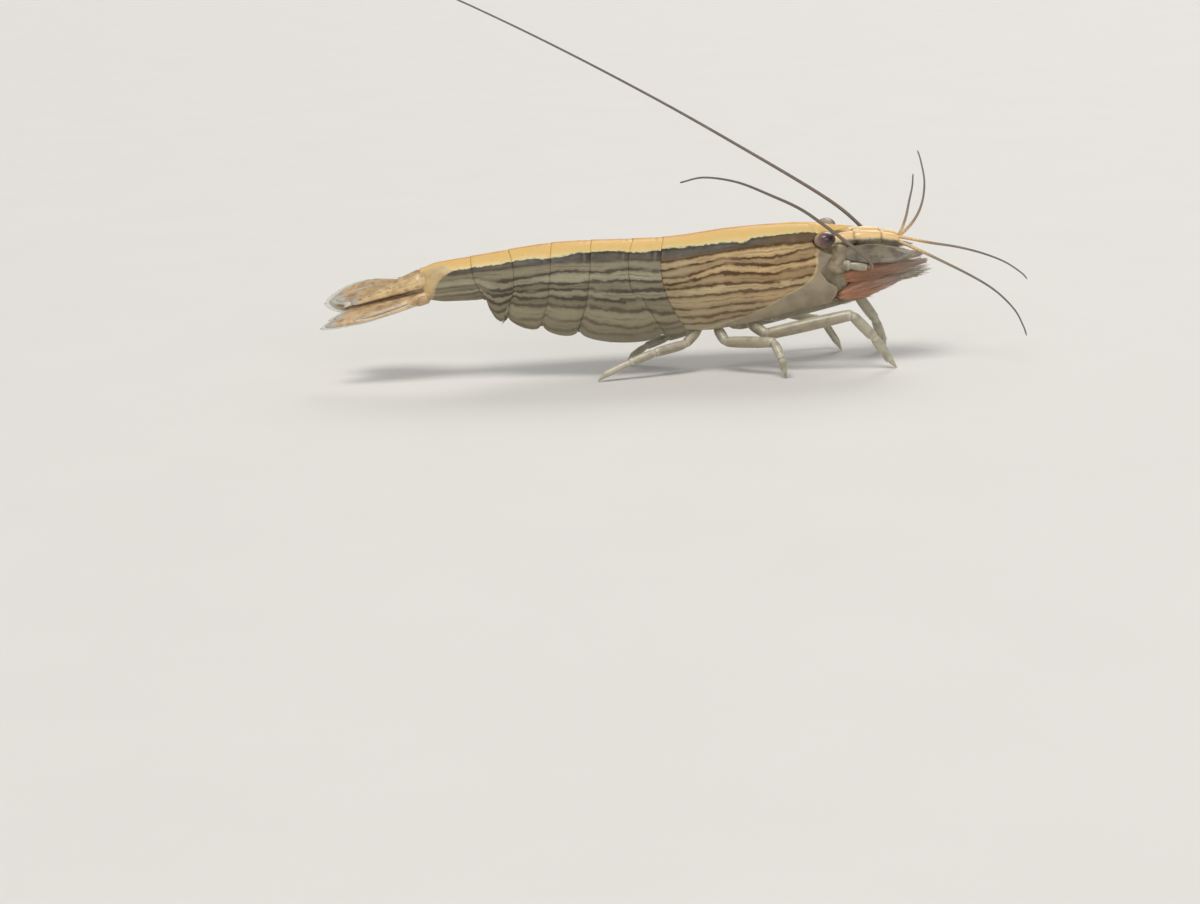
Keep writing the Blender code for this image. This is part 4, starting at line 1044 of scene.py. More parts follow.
def make_flesh(material):
    """One soft skin inside the plates, out over the face and the eye stalks, with a pad at the root of each limb."""
    shape = Shape()
    shares, ys = np.linspace(-0.97, 0.97, 41), np.linspace(1, -1, 21)[1:-1]
    rings = []
    for x in np.linspace(-25.9, 17.6, 90):
        low = float(carapace_edge(x) if x > 0.4 else abdomen_edge(x))
        middle = np.array([x, 0, (float(back_height(x)) + low) / 2 + 0.3])
        at_tail, at_head = float(ease(-24.5, -25.9, x)), float(ease(14.8, 16.6, x))
        inset = np.array([1, 0.91 - 0.2 * at_tail, 0.92 - 0.3 * at_head - 0.12 * at_tail])
        over = middle + (arch(np.full_like(shares, x), shares, low) - middle) * inset
        roof = over[0][2] + float(smooth(TROUGH_DEPTH)(x)) * np.sqrt(np.maximum(1 - ys**2, 0))
        rings.append(np.concatenate([over, np.stack([np.full_like(ys, x), ys * abs(over[0][1]), roof], -1)]))
    shape.tube(np.array(rings))
    turns, face = circle(32), []
    for share in np.linspace(0, 1, 9):
        squeeze = math.sqrt(max(1 - (0.9 * share) ** 3, 0.05))
        ahead, high = np.full_like(turns, 16.6 + 2.3 * share), 11.0 + (2.7 * squeeze) * np.sin(turns)
        face.append(np.stack([ahead, 2.75 * squeeze * np.cos(turns), high], -1))
    shape.tube(np.array(face))
    for (side, _), eye in zip(SIDES, EYES):
        root = mirrored(STALK_ROOT, side) + np.array([-0.5, -0.9 * side, -0.5])
        shares = (0.0, 0.3, 0.55, 0.72, 0.8)
        add_rod(shape, [root + (np.array(eye) - root) * k for k in shares], (0.7, 0.55, 0.56, 0.78, 0.9))
        for place, radius in FACE_FOLDS:
            add_ball(shape, mirrored(place, side), radius)
        for x, z, y, _ in SWIMMERETS:
            add_ball(shape, np.array([x, y * side, z + 0.15]), 0.62)
    body = Matrix.Scale(1 / MM, 4) @ in_frame(BODY_ROLL)
    back = body.inverted() @ Matrix.Scale(1 / MM, 4) @ in_frame()
    for name, joints in LEGS.items():
        root, knee = back @ Vector(joints[0]), back @ Vector(joints[1])
        path = [np.array(root - (knee - root) * 0.5), np.array(root), np.array(root + (knee - root) * 0.2)]
        wide = LEG_RADII[name[4]][0]
        add_rod(shape, path, (0.9, wide * 1.2, wide * 1.04))
    rough = placed("skin_under_way", shape.mesh("head_and_belly_skin", in_frame(BODY_ROLL)))
    fuse = rough.modifiers.new("fuse", "REMESH")
    fuse.mode, fuse.voxel_size, fuse.use_smooth_shade = "VOXEL", SKIN_VOXEL * MM, True
    even = rough.modifiers.new("even", "SMOOTH")
    even.factor, even.iterations = 0.5, SKIN_SMOOTHING
    whole = evaluated(rough)
    bpy.data.objects.remove(rough)
    whole.name = "head_and_belly_skin"
    show("head_and_belly_skin", whole, material, ("head", "eyestalk_right", "eyestalk_left"))


def add_rod(shape, path, radii, sides=16, **values):
    """A round rod through a few points."""
    marks, finer = np.arange(len(path)), np.linspace(0, len(path) - 1, 6 * len(path))
    points = read_off(finer, marks, np.array(path, float))
    widths = np.interp(finer, marks, radii)
    spokes = spokes_round(points, sides, (0.1, 0.2, 1))[0]
    shape.tube(points[:, None] + widths[:, None, None] * spokes, **values)


def add_ball(shape, centre, radius):
    """A round pad."""
    lean_angle, turns = np.linspace(0.12, math.pi - 0.12, 12), circle(16)
    wide, high = np.sin(lean_angle), np.cos(lean_angle)
    ring = [np.outer(wide, np.cos(turns)), np.outer(wide, np.sin(turns)), np.outer(high, np.ones_like(turns))]
    shape.tube(centre + radius * np.stack(ring, -1))


def make_eyes(material):
    """Both corneas: a dome of facets that narrows into the stalk."""
    for (side, word), centre in zip(SIDES, EYES):
        gaze = unit(unit(np.array(centre) - mirrored(STALK_ROOT, side)) + np.array([0.25, 0.0, 0.12]))
        across = unit(np.cross(gaze, (0, 0, 1)))
        up = np.cross(across, gaze)
        angle, turns = np.linspace(0.02, math.pi - 0.25, 44), circle(56)[:, None]
        radius = EYE_RADIUS * (1 + 0.02 * np.cos(angle) - 0.03 * hump(angle, 1.75, 0.12))
        forward = (radius * np.cos(angle))[:, None, None] * gaze
        around = (radius * np.sin(angle))[:, None, None] * (across * np.cos(turns) + 0.74 * up * np.sin(turns))
        shape = Shape()
        shape.tube(np.array(centre) + forward + around, turn=angle[:, None])
        finished(f"eye_{word}", "cornea", shape, BODY_ROLL, material)


# ---- Limbs ----
def limb_line(joints, radii):
    """Points along a jointed limb with its corners rounded, how far along it each lies, and where its segments end."""
    joints = [np.array(j, float) for j in joints]
    path, marks = [joints[0]], [0]
    for i in range(1, len(joints) - 1):
        before, after = joints[i] - joints[i - 1], joints[i + 1] - joints[i]
        cut = min(0.3 * np.linalg.norm(before), 0.3 * np.linalg.norm(after), 0.9 * radii[min(i, len(radii) - 1)])
        a, b = joints[i] - unit(before) * cut, joints[i] + unit(after) * cut
        corner = [(1 - t) ** 2 * a + 2 * t * (1 - t) * joints[i] + t * t * b for t in np.linspace(0, 1, 9)]
        path.extend(corner[:5])
        marks.append(len(path) - 1)
        path.extend(corner[5:])
    path = np.array([*path, joints[-1]])
    lengths = lengths_along(path)
    ends = lengths[[*marks, len(path) - 1]]
    whole = np.linspace(0, lengths[-1], max(int(lengths[-1] / LIMB_STEP), 24))
    even = np.unique(np.concatenate([whole] + [e + np.linspace(-0.3, 0.3, 11) for e in ends]))
    even = even[(even >= 0) & (even <= lengths[-1])]
    return read_off(even, lengths, path), even, ends


def limb(shape, joints, radii, sides=20, tip=0.3, waist=0.2, claw=False):
    """A jointed limb: each segment narrows into the cuff of the one before. Returns its path and radii for hairs."""
    points, lengths, ends = limb_line(joints, radii)
    number = np.clip(np.searchsorted(ends, lengths, side="right") - 1, 0, len(radii) - 1)
    start, end = ends[number], ends[number + 1]
    share = (lengths - start) / np.maximum(end - start, 1e-6)
    full = np.array(radii)[number]
    width = full * (0.86 + 0.14 * np.sin(np.pi * np.clip(share * 1.05, 0, 1)) ** 0.7)
    first, last = number == 0, number == len(radii) - 1
    width = width * np.where(first, 1.0, 1 - waist * hump(lengths - start, 0.0, 0.34))
    width = width * np.where(last, 1.0, 1 - waist * 0.75 * hump(end - lengths, 0.0, 0.1))
    width = width * np.where(last, 1.0, 1 + 0.03 * hump(end - lengths, 0.28, 0.14))
    if claw:
        width = np.where(last, full * (1.0 - 0.82 * share**0.9) * (1 - waist * hump(lengths - start, 0.0, 0.2)), width)
    else:
        width = np.where(last, width * (1 - (1 - tip) * share**2.2), width)
    width = width * np.sqrt(np.clip((lengths[-1] - lengths) / 0.12, 0.02, 1)) * np.sqrt(np.clip(lengths / 0.12, 0.3, 1))
    spokes, *frames = spokes_round(points, sides, (0, 0, 1))
    nearest = np.min(np.abs(lengths[:, None] - ends[None, 1:-1]), axis=1) if len(ends) > 2 else lengths + 9
    shape.tube(
        points[:, None] + spokes * width[:, None, None], span=lengths[:, None], joint=nearest[:, None],
        above=spokes[..., 2], lap=np.cos(circle(sides)), share=(lengths / lengths[-1])[:, None],
    )
    return points, width, *frames, lengths, number


def limb_piece(node_name, word, joints, radii, roll, material, slot, **form):
    """A jointed limb as a finished piece of its own. Returns its path and radii for hairs."""
    shape = Shape()
    made = limb(shape, joints, radii, **form)
    finished(node_name, word, shape, roll, material)
    return made


def hair_rows(hairs, made, pick, reach, cell, slant=0.6):
    """Hairs on a limb at the places that pick gives as (length along it, turn round it)."""
    points, width, ahead, side_at, ups, lengths, _ = made
    for along, turn in pick:
        i = int(np.clip(np.searchsorted(lengths, along), 0, len(lengths) - 1))
        spoke = side_at[i] * math.cos(turn) + ups[i] * math.sin(turn)
        aim = spoke * (1 - slant) + ahead[i] * slant
        root = points[i] + spoke * width[i] * 0.9
        home = (along / lengths[-1], (cell[0] + (turn % math.tau) / math.tau) / cell[1])
        hairs.add(root, aim, ahead[i], reach * hairs.luck.uniform(0.7, 1.2), along / lengths[-1], home)


def picked(luck, low, high, count):
    """Random places on a limb between two lengths, as (length along it, turn round it)."""
    return [(luck.uniform(low, high), luck.uniform(0, math.tau)) for _ in range(count)]


def make_legs(material, hair):
    """Six walking legs with cuffs at their joints, ending in curved claws, and their sparse hairs."""
    hairs = Hairs(11)
    for index, (name, joints) in enumerate(LEGS.items()):
        joints = [Vector(j) for j in joints]
        joints[0] = joints[0] + (joints[0] - joints[1]) * 0.25
        joints[-1] = joints[-1] + Vector((0, 0, 0.03))
        made = limb_piece(name, "limb", joints, LEG_RADII[name[4]], 0.0, material, "limb", waist=0.07, claw=True)
        lengths, number = made[5:]
        lower, upper = lengths[number >= 3], lengths[number == 2]
        pick = picked(hairs.luck, lower[0], lengths[-1] - 0.9, 26) + picked(hairs.luck, upper[0], upper[-1], 10)
        hair_rows(hairs, made, pick, sizes()["leg_hair"], (index, 6))
    hairs.grow("leg_hairs", 0.0, hair, 0.03, 0.16, 4)


def make_feelers(whip_material, antenna_material):
    """The whips: two on each antennule base and the long antenna on each antenna base, ringed and tapering."""
    s = sizes()
    for name, points in FEELERS.items():
        long = name.startswith("antenna_")
        dense = curve_points(points, 400)
        marks = lengths_along(dense)
        length = marks[-1]
        span = np.linspace(0, length, int(length / s["ring_pitch"]) * 4)
        path = read_off(span, marks, dense)
        share = span / length
        width = s["feeler_tip"] / 2 + (s["feeler_root"] - s["feeler_tip"]) / 2 * (1 - share) ** 1.3
        width = width * (ANTENNA_STOUTNESS if long else 1.0)
        width = width * (0.97 + 0.06 * np.abs(np.sin(np.pi * span / s["ring_pitch"])) ** 0.6)
        width = width * np.clip((length - span) / 0.3, 0.12, 1) ** 0.5
        spokes = spokes_round(path, 10, (0.05, 0.1, 1))[0]
        shape = Shape()
        shape.tube(path[:, None] + width[:, None, None] * spokes, span=span[:, None], share=share[:, None])
        finished(name, "whip", shape, 0.0, antenna_material if long else whip_material)


def blade(shape, root, tip, half_wide, thick, up, fullest, stations=70, columns=25, notch=0.0, full=(1, 1)):
    """A leaf-shaped blade with ribs along it. Returns the points of its edge, with their outward directions."""
    root, tip = np.array(root, float), np.array(tip, float)
    along = unit(tip - root)
    up = unit(np.array(up, float) - along * np.dot(up, along))
    side = np.cross(up, along)
    share = 0.5 - 0.5 * np.cos(np.pi * np.linspace(0.06, 0.985, stations))
    left = (1 - share)[:, None]
    outline = np.sin(np.pi * share ** (math.log(0.5) / math.log(fullest))) ** 0.62
    wide = np.maximum(half_wide * outline, 0.16 * (1 - share) + 0.05)
    w = np.linspace(-1, 1, columns)
    depth = (1 - np.abs(w) ** 2.2) * (1 - 0.45 * share[:, None] ** 2) * thick
    depth = depth + 0.5 * thick * hump(w, 0.0, 0.14) * left**0.5
    depth = depth + 0.14 * thick * np.cos(w * 5 * math.tau) * (1 - np.abs(w))
    depth = depth * np.clip(left / 0.06, 0.25, 1)
    if notch:
        depth = depth * (1 - 0.5 * hump(share, notch, 0.008)[:, None])
    cup = (0.12 * half_wide * w**2)[:, None]
    spine = root + np.outer(share, tip - root)
    flat = spine[:, None] + side * (wide[:, None] * (w * np.where(w < 0, *full)))[..., None] - up * cup
    over = flat + up * (depth + 0.02)[..., None]
    under = flat - up * (depth * 0.55 + 0.02)[..., None]
    rings = np.concatenate([over, under[:, ::-1]], axis=1)
    shape.tube(rings, share=share[:, None], across=np.concatenate([w, w[::-1]]))
    edge = []
    for sign, line in ((-1, flat[:, 0]), (1, flat[:, -1])):
        out = np.cross(unit(np.gradient(line, axis=0)), up) * sign
        edge.append((line, np.where((out @ (side * sign))[:, None] < 0, -out, out), share))
    return edge, along, up


def fringe(hairs, made, reach, start, spacing, cell, slant, sides=(0, 1)):
    """Hairs side by side along the edge of a blade, from the given share of its length to its tip."""
    edge, along, up = made
    for which in sides:
        line, out, share = edge[which]
        steps = lengths_along(line)
        begin = float(np.interp(start, share, steps))
        for place in np.arange(begin, steps[-1], spacing):
            at, way = read_off(place, steps, line), read_off(place, steps, out)
            s = float(np.interp(place, steps, share))
            grown = min((place - begin) / 1.2 + 0.35, 1.0)
            way = way * (1 - slant) + along * (slant + 0.35 * s) + up * hairs.luck.uniform(-0.12, 0.12)
            home = (s, (cell[0] + 0.25 + 0.5 * which) / cell[1])
            hairs.add(at, unit(way), along, reach * grown * hairs.luck.uniform(0.85, 1.1), s, home)
    near, far = edge[0][0][-1], edge[1][0][-1]
    count = int(0.9 / spacing)
    for k in range(count):
        t = (k + 0.5) / count
        home = (0.99, (cell[0] + 0.4 + 0.2 * t) / cell[1])
        aim = along + up * hairs.luck.uniform(-0.1, 0.1)
        hairs.add(near + (far - near) * t, aim, up, reach * hairs.luck.uniform(0.9, 1.1), 1.0, home)


def add_spine(shape, root, aim, reach, width):
    """A short pointed spine."""
    path = [root + unit(aim) * reach * k for k in (-0.25, 0.0, 0.35, 0.7, 1.0)]
    add_rod(shape, path, (width, width, width * 0.75, width * 0.4, width * 0.06), 8)


def make_tail_fan(material, hair):
    """The telson with its spines, and an inner and an outer blade on each side, all fringed with hairs."""
    reach = sizes()["fringe"]
    hairs = Hairs(23)
    for cell, (name, (start, end, wide, raised_by, full, widest)) in enumerate(TAIL_BLADES.items()):
        start, end = np.array(start), np.array(end)
        side, outer = math.copysign(1, start[1]), "outer" in name
        axis = unit(end - start)
        up = up_turned(axis, math.radians(-raised_by * side))
        shape = Shape()
        outside = np.dot(np.cross(up, axis), (0, side, 0)) > 0
        made = blade(
            shape, start, end - axis * reach * 0.45, wide * 0.94, 0.17, up, widest, notch=0.8 * outer,
            full=full if outside else full[::-1],
        )
        if outer:
            knob = [start + np.array(step) * (1, side, 1) for step in BLADE_KNOB]
            add_rod(shape, knob, (0.2, 0.72, 0.74, 0.25), across=0.1, crown=0.6)
        fringe(hairs, made, reach, 0.45, 0.055, (cell, 5), slant=0.74)
        finished(name, "blade", shape, TAIL_ROLL, material)
    make_telson(material, hairs)
    hairs.grow("tail_fringe_hairs", TAIL_ROLL, hair, 0.02, 0.1, 4)


def make_telson(material, hairs):
    """The middle blade of the tail fan, with two rows of spines on its back and two pairs and hairs at its end."""
    root, tip = np.array(TELSON_ROOT), np.array(TELSON_TIP)
    share, turns = np.linspace(0, 1, 70), circle(36)
    path = root + np.outer(share, tip - root)
    start, end = TELSON_HALF_WIDTHS
    shoulder = 0.45 + 0.55 * ease(-0.04, 0.14, share)
    wide = (start + (end - start) * share) * np.sqrt(np.clip((1 - share) / 0.05, 0.15, 1)) * shoulder
    deep = (0.26 + 1.0 * (1 - share) ** 1.3) * shoulder * np.sqrt(np.clip((1 - share) / 0.03, 0.3, 1))
    _, side_at, ups = cross_frames(path, (0, 0, 1))
    side_at = -side_at
    across, above = np.cos(turns), np.sin(turns) > 0
    groove = 1 - 0.12 * hump(across, 0.0, 0.22) * above + 0.06 * hump(np.abs(across), 0.5, 0.12)
    high = deep[:, None] * np.sin(turns) * np.where(above, 1.0, 0.55) * groove
    rings = path[:, None] + side_at[:, None] * (wide[:, None] * across)[..., None] + ups[:, None] * high[..., None]
    shape = Shape()
    shape.tube(rings, share=share[:, None], across=0.7 * across, crown=0.85)
    along = unit(tip - root)
    for k in range(5):
        for sign in (-1, 1):
            i = int((0.34 + 0.13 * k) * (len(path) - 1))
            spot = path[i] + side_at[i] * sign * wide[i] * 0.55 + ups[i] * deep[i] * 0.82
            add_spine(shape, spot, along * 0.85 + ups[i] * 0.4, 0.5, 0.07)
    for sign in (-1, 1):
        out = side_at[-2] * sign
        add_spine(shape, path[-2] + out * 0.42, along + out * 0.12, 0.75, 0.08)
        add_spine(shape, path[-2] + out * 0.28, along + out * 0.02, 0.55, 0.06)
    finished("telson", "blade", shape, TAIL_ROLL, material)
    for t in np.arange(22) / 21:
        spot, aim = path[-1] + side_at[-1] * (0.8 * t - 0.4), along + side_at[-1] * (0.5 * t - 0.25)
        hairs.add(spot, aim, ups[-1], hairs.luck.uniform(0.75, 0.95), 1.0, (t * 0.2, 0.95))


def make_swimmerets(material, hair):
    """Five pairs of paddles: a short stalk that carries two fringed blades."""
    hairs = Hairs(37)
    cells = iter(range(20))
    back = np.array([-math.sin(SWIMMERET_LEAN), 0, -math.cos(SWIMMERET_LEAN)])
    face = np.array([-math.cos(SWIMMERET_LEAN), 0, math.sin(SWIMMERET_LEAN)])
    for number, (x, z, y, length) in enumerate(SWIMMERETS, start=1):
        for side, word in SIDES:
            root = np.array([x, y * side, z])
            shape = Shape()
            stalk = [root - back * 0.3, root + back * (0.36 * length)]
            limb(shape, stalk, (0.24 * min(length, 2.4),), sides=14, tip=0.75)
            for sign in (1, -1):
                spread = np.array([0, side * 0.1 * sign * length, 0])
                start = root + back * (0.3 * length) + spread * 0.6 + face * 0.08 * sign
                end = root + back * (0.97 * length) + spread + face * 0.16 * sign
                made = blade(shape, start, end, 0.19 * length, 0.07, face, 0.5, stations=34, columns=11)
                fringe(hairs, made, 0.11 * length, 0.3, 0.1, (next(cells), 20), slant=0.5)
            finished(f"swimmeret_{number}_{word}", "paddle", shape, BODY_ROLL, material)
    hairs.grow("swimmeret_hairs", BODY_ROLL, hair, 0.05, 0.15, 3)


def make_head_limbs(stalk_material, limb_material, scale_material, hair):
    """Bases of antennules and antennae, antennal scales with their fringes, and the maxillipeds."""
    hairs = Hairs(41)
    for index, (side, word) in enumerate(SIDES):
        shape = Shape()
        made = limb(shape, mirrored(ANTENNULE_BASE, side), ANTENNULE_BASE_RADII, sides=28, tip=0.82, waist=0.12)
        points, width, ahead, side_at, _, lengths, _ = made
        out = side_at[12] * side
        add_spine(shape, points[12] + out * width[12] * 0.8, ahead[12] + out * 0.1, 1.6, 0.13)
        finished(f"antennule_base_{word}", "stalk", shape, BODY_ROLL, stalk_material)
        flanks = (-0.25, math.pi + 0.25)
        pick = [(hairs.luck.uniform(0.8, lengths[-1]), hairs.luck.choice(flanks)) for _ in range(44)]
        hair_rows(hairs, made, pick, 0.42, (index, 8), slant=0.72)
        limb_piece(
            f"antenna_base_{word}", "stalk", mirrored(ANTENNA_BASE, side), ANTENNA_BASE_RADII, BODY_ROLL,
            limb_material, "limb", sides=24, tip=0.85, waist=0.08,
        )
        root, end = mirrored((SCALE_ROOT, SCALE_TIP), side)
        axis = unit(end - root)
        shape = Shape()
        made = blade(shape, root, end - axis * 0.55, 1.12, 0.13, up_turned(axis, -SCALE_TILT * side), 0.45)
        edge, along, _ = made
        outer = 0 if np.dot(edge[0][0][30] - edge[1][0][30], (0, side, 0)) > 0 else 1
        line = edge[outer][0]
        keel = [line[k] for k in (4, 16, 30, 44, 54)] + [line[54] + along * 0.75]
        add_rod(shape, keel, (0.1, 0.14, 0.13, 0.11, 0.09, 0.015), 10)
        fringe(hairs, made, 0.8, 0.15, 0.06, (2 + index, 8), sides=(1 - outer,), slant=0.74)
        fringe(hairs, made, 0.6, 0.84, 0.06, (4 + index, 8), sides=(outer,), slant=0.78)
        finished(f"antenna_scale_{word}", "blade", shape, BODY_ROLL, scale_material)
        made = limb_piece(
            f"maxilliped_{word}", "limb", mirrored(MAXILLIPED, side), MAXILLIPED_RADII, BODY_ROLL,
            limb_material, "limb", sides=18, tip=0.25,
        )
        pick = picked(hairs.luck, 3.0, made[5][-1] - 0.1, 420)
        hair_rows(hairs, made, pick, 0.8, (6 + index, 8), slant=0.75)
    hairs.grow("head_limb_hairs", BODY_ROLL, hair, 0.022, 0.12, 4)


def make_fans(limb_material, core_material, hair):
    """Four folded fans: a short jointed arm, a hand, and a brush of filter hairs laid together to a point."""
    outline, turns, fan_hair = smooth(FAN_SHAPE), circle(24), sizes()["fan_hair"]
    share = np.linspace(0, 1, 40)
    last = len(share) - 1
    for side, word in SIDES:
        for number, (arm, tip, wide) in enumerate(zip(FAN_ARMS, FAN_TIPS, FAN_RADII), start=1):
            arm, tip = mirrored(arm, side), mirrored(tip, side)
            name = f"fan_arm_{number}_{word}"
            limb_piece(name, "limb", arm, FAN_ARM_RADII, BODY_ROLL, limb_material, "limb", sides=16, tip=0.9)
            start = arm[-1] - (tip - arm[-1]) * 0.1
            length = np.linalg.norm(tip - start)
            path = start + np.outer(share, tip - start)
            spokes, _, side_at, ups = spokes_round(path, 24, (0, 0, 1))
            radius = wide * outline(share)
            folds = 1 + 0.1 * np.sin(turns * 5 + 1.0) + 0.05 * np.sin(turns * 9)
            blunt = np.sqrt(np.clip((1 - share) / 0.08, 0.05, 1)) * np.sqrt(np.clip(share / 0.04 + 0.25, 0, 1))
            thin = radius * 0.45 * blunt
            shape = Shape()
            shape.tube(
                path[:, None] + spokes * (thin[:, None] * folds)[..., None], share=share[:, None],
                span=(share * length)[:, None], joint=9.0, above=spokes[..., 2], lap=np.cos(turns),
            )
            finished(f"fan_{number}_{word}", "core", shape, BODY_ROLL, core_material)
            hairs = Hairs(100 + number * 2 + side)
            luck = hairs.luck
            for _ in range(FAN_HAIRS):
                t = 0.86 * (luck.random() ** 1.2)
                turn = luck.uniform(0, math.tau)
                i = int(t * last)
                spoke = side_at[i] * math.cos(turn) + ups[i] * math.sin(turn)
                root = path[i] + spoke * thin[i] * 0.9
                full = fan_hair * luck.uniform(0.6, 1.05)
                reach = min(full, (1.0 - t) * length * luck.uniform(0.75, 1.08) + 0.1)
                there = min(t + reach / length, 1.0)
                far = radius[min(int(there * last), last)]
                end = start + (tip - start) * there + spoke * far * luck.uniform(0.25, 1.1)
                aim = unit(end - root) + luck.normal(0, 0.035, 3) + spoke * 0.03
                place = t + 0.25 * reach / length
                hairs.add(root + spoke * 0.03, aim, -spoke, reach, place, (t, turn / math.tau))
            hairs.grow(f"fan_{number}_{word}_hairs", BODY_ROLL, hair, 0.0075, 0.07, 5)


# ---- Stage ----
def make_floor():
    made, tree = begun("painted_board_matt")
    tone = laid(tree, colour("floor"), "#BDBBB6", (grain(tree, 18.0, 3.0), 0.2, 0.8, 0.0, 0.06))
    closed(made, tone, 0.75, 0.0, 0.0, 0.1, ior=1.45)
    bend = [math.radians(7.5 * k) for k in range(9)]
    profile = [(0.4, 0.0), (1.5, 0.0)] + [(3.0 + 1.2 * math.sin(a), 1.2 - 1.2 * math.cos(a)) for a in bend]
    n, turns = FLOOR_SIDES, [k * math.tau / FLOOR_SIDES for k in range(FLOOR_SIDES)]
    points = [(r * math.cos(turn), r * math.sin(turn), z) for r, z in profile for turn in turns]
    faces = [tuple(range(n))]
    for i in range(len(profile) - 1):
        for k in range(n):
            near, far, following = n * i, n * (i + 1), (k + 1) % n
            faces.append((near + k, far + k, far + following, near + following))
    mesh = bpy.data.meshes.new("floor_and_backdrop")
    mesh.from_pydata(points, [], faces)
    mesh.shade_smooth()
    mesh.materials.append(made)
    placed("floor_and_backdrop", mesh)


def make_lights():
    """Soft light from above, in front and behind, and the pale air of a studio."""
    for name, place, spread, power, tone in LAMPS:
        light = bpy.data.lights.new(name, "SUN")
        light.angle, light.energy, light.color = math.radians(spread), power, tone
        lamp = placed(name, light)
        lamp.location = place
        lamp.rotation_euler = (-Vector(place)).to_track_quat("-Z", "Y").to_euler()
    world = bpy.data.worlds.new("soft_studio")
    world.use_nodes = True
    node(world.node_tree, world.node_tree.nodes["Background"], {"Color": "#D6D8DB", "Strength": 0.42})
    bpy.context.scene.world = world
    bpy.context.scene.view_settings.view_transform = "Standard"


def make_camera():
    """The camera, from the animal's right and a little above."""
    camera = bpy.data.cameras.new("camera")
    camera.lens, camera.sensor_width = CAMERA_LENS, 36.0
    camera.clip_start, camera.clip_end = 0.01, 20.0
    back = Vector((0, -math.cos(CAMERA_DOWN), math.sin(CAMERA_DOWN)))
    up = Vector((0, math.sin(CAMERA_DOWN), math.cos(CAMERA_DOWN)))
    right, c, s = Vector((1, 0, 0)), math.cos(CAMERA_ROLL), math.sin(CAMERA_ROLL)
    axes = (right * c - up * s, right * s + up * c, back)
    spot = Vector(CAMERA_PLACE) + Vector((SHIFT.x, SHIFT.y, 0))
    holder = placed("camera", camera)
    rows = [(*(axis[k] for axis in axes), spot[k] * MM) for k in range(3)]
    holder.matrix_world = Matrix((*rows, (0, 0, 0, 1)))
    bpy.context.scene.camera = holder


# ---- Operators and panel ----
class SHRIMP_OT_shell(bpy.types.Operator):
    """Builds the carapace and the six rings of the tail"""

    bl_idname = "shrimp.shell"
    bl_label = "Shell plates"

    def execute(self, context):
        make_carapace(carapace_finish())
        make_abdomen(abdomen_finish())
        return {"FINISHED"}


class SHRIMP_OT_flesh(bpy.types.Operator):
    """Builds the one soft skin of face, eye stalks and belly"""

    bl_idname = "shrimp.flesh"
    bl_label = "Soft skin"

    def execute(self, context):
        make_flesh(flesh_finish())
        return {"FINISHED"}


class SHRIMP_OT_eyes(bpy.types.Operator):
    """Builds both eyes"""

    bl_idname = "shrimp.eyes"
    bl_label = "Eyes"

    def execute(self, context):
        make_eyes(cornea_finish())
        return {"FINISHED"}


class SHRIMP_OT_head_limbs(bpy.types.Operator):
    """Builds the feeler bases, antennal scales and maxillipeds"""

    bl_idname = "shrimp.head_limbs"
    bl_label = "Limbs of the head"

    def execute(self, context):
        pale = limb_finish("chitin_head_limb_grown", "#8F846C", colour("bluish"), "#6F6551", 0.4)
        scale = scale_finish()
        hair = bristle_finish("chitin_hair_head", "#8F8570", "#B3AA95", "#7D725F")
        make_head_limbs(stalk_finish(), pale, scale, hair)
        return {"FINISHED"}


class SHRIMP_OT_fans(bpy.types.Operator):
    """Builds the four folded feeding fans"""

    bl_idname = "shrimp.fans"
    bl_label = "Feeding fans"

    def execute(self, context):
        arm = limb_finish("chitin_fan_arm_grown", "#9A7B62", "#B9A58C", "#6B4B3A", 0.4)
        core = limb_finish("chitin_fan_core_grown", "#A56F50", "#B07C5C", "#6A453A", 0.6)
        hair = bristle_finish("chitin_filter_hair", colour("fan_root"), colour("fan_tip"), "#A5806E")
        make_fans(arm, core, hair)
        return {"FINISHED"}


class SHRIMP_OT_legs(bpy.types.Operator):
    """Builds the six walking legs"""

    bl_idname = "shrimp.legs"
    bl_label = "Walking legs"

    def execute(self, context):
        glassy = limb_finish("chitin_walking_leg_grown", colour("limb"), colour("bluish"), "#736D5C")
        hair = bristle_finish("chitin_hair_leg", "#8E8876", "#A39D8B", "#6B6454")
        make_legs(glassy, hair)
        return {"FINISHED"}


class SHRIMP_OT_feelers(bpy.types.Operator):
    """Builds the whips of the antennules and the antennae"""

    bl_idname = "shrimp.feelers"
    bl_label = "Feelers"

    def execute(self, context):
        grey, cream = colour("feeler"), colour("cream")
        root = ((0.0, cream), (0.14, cream), (0.24, mixed(cream, grey, 0.7)))
        whip = feeler_finish("chitin_antennule_whip", *root, (0.6, grey), (1.0, grey))
        root = ((0.0, "#9A8671"), (0.04, "#7A6B5C"))
        long = feeler_finish("chitin_antenna_whip", *root, (0.6, grey), (1.0, darker(grey, 0.9)))
        make_feelers(whip, long)
        return {"FINISHED"}


class SHRIMP_OT_swimmerets(bpy.types.Operator):
    """Builds the five pairs of swimmerets"""

    bl_idname = "shrimp.swimmerets"
    bl_label = "Swimmerets"

    def execute(self, context):
        glassy = limb_finish("chitin_swimmeret_grown", "#868274", colour("bluish"), "#5F594B")
        hair = bristle_finish("chitin_hair_swimmeret", "#A19C8C", "#BDBCB0", "#8B8574")
        make_swimmerets(glassy, hair)
        return {"FINISHED"}


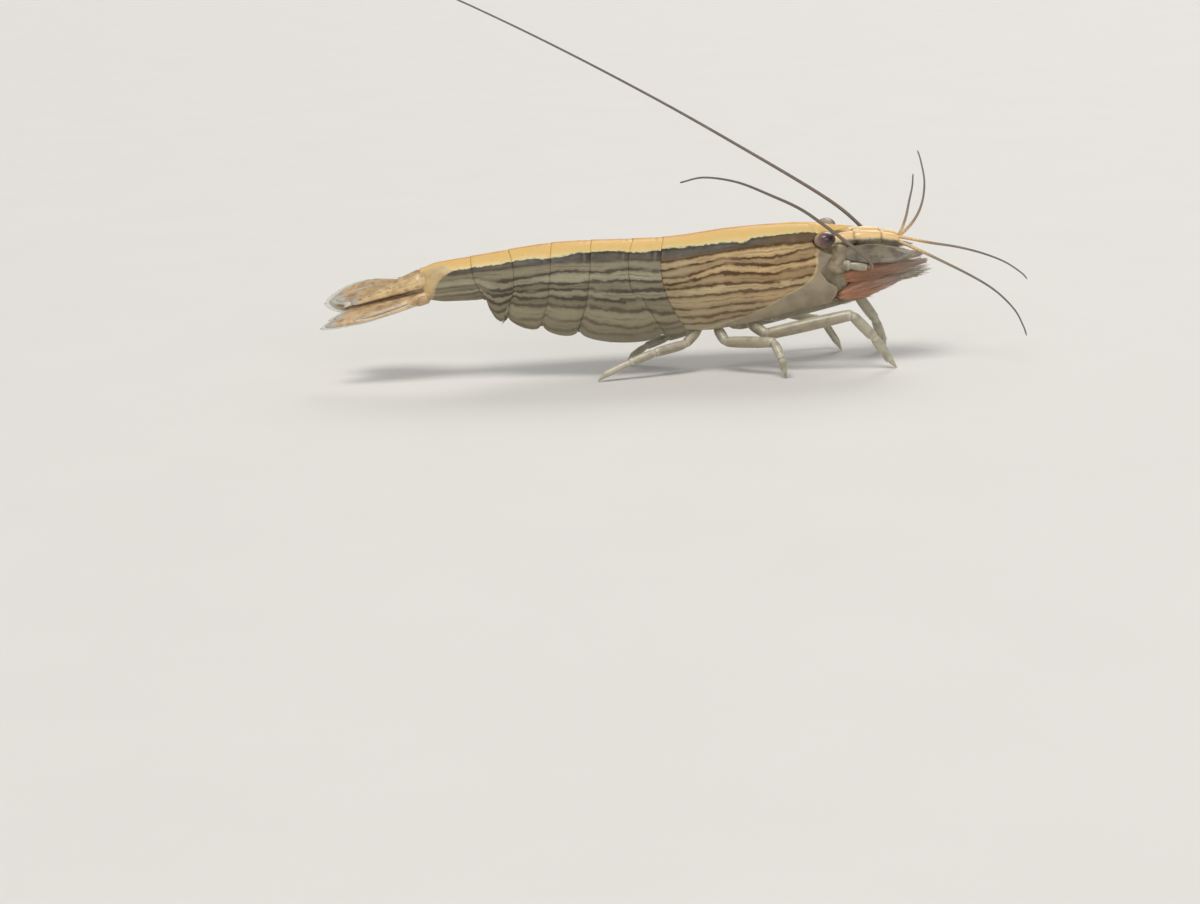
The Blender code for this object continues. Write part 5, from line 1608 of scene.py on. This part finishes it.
class SHRIMP_OT_tail_fan(bpy.types.Operator):
    """Builds the telson and the four blades of the tail fan"""

    bl_idname = "shrimp.tail_fan"
    bl_label = "Tail fan"

    def execute(self, context):
        hair = bristle_finish("chitin_hair_tail", "#DDCFB2", "#D5D8D4", "#C2B59A")
        make_tail_fan(tail_finish(), hair)
        return {"FINISHED"}


class SHRIMP_OT_stage(bpy.types.Operator):
    """Builds the floor, the lights and the camera"""

    bl_idname = "shrimp.stage"
    bl_label = "Stage"

    def execute(self, context):
        make_floor()
        make_lights()
        make_camera()
        return {"FINISHED"}


OPERATORS = (
    SHRIMP_OT_shell, SHRIMP_OT_flesh, SHRIMP_OT_eyes, SHRIMP_OT_head_limbs, SHRIMP_OT_fans, SHRIMP_OT_legs,
    SHRIMP_OT_feelers, SHRIMP_OT_swimmerets, SHRIMP_OT_tail_fan, SHRIMP_OT_stage,
)


class SHRIMP_PT_panel(bpy.types.Panel):
    """Lists the sizes, the colours and the steps that build the shrimp"""

    bl_idname = "SHRIMP_PT_panel"
    bl_label = "Bamboo shrimp"
    bl_space_type = "VIEW_3D"
    bl_region_type = "UI"
    bl_category = "Shrimp"

    def draw(self, context):
        for held in (context.scene.shrimp_sizes, context.scene.shrimp_colours):
            box = self.layout.box()
            for name in type(held).__annotations__:
                box.prop(held, name)
        for step in OPERATORS:
            self.layout.operator(step.bl_idname)


CLASSES = (ShrimpSizes, ShrimpColours, *OPERATORS, SHRIMP_PT_panel)


def register():
    """Registers the classes and hangs their settings on the scene."""
    for made in CLASSES:
        bpy.utils.register_class(made)
    bpy.types.Scene.shrimp_sizes = bpy.props.PointerProperty(type=ShrimpSizes)
    bpy.types.Scene.shrimp_colours = bpy.props.PointerProperty(type=ShrimpColours)


def unregister():
    """Takes away what register added."""
    del bpy.types.Scene.shrimp_colours
    del bpy.types.Scene.shrimp_sizes
    for made in reversed(CLASSES):
        bpy.utils.unregister_class(made)


def main():
    register()
    for step in OPERATORS:
        group, name = step.bl_idname.split(".")
        getattr(getattr(bpy.ops, group), name)()


if __name__ == "__main__":
    main()
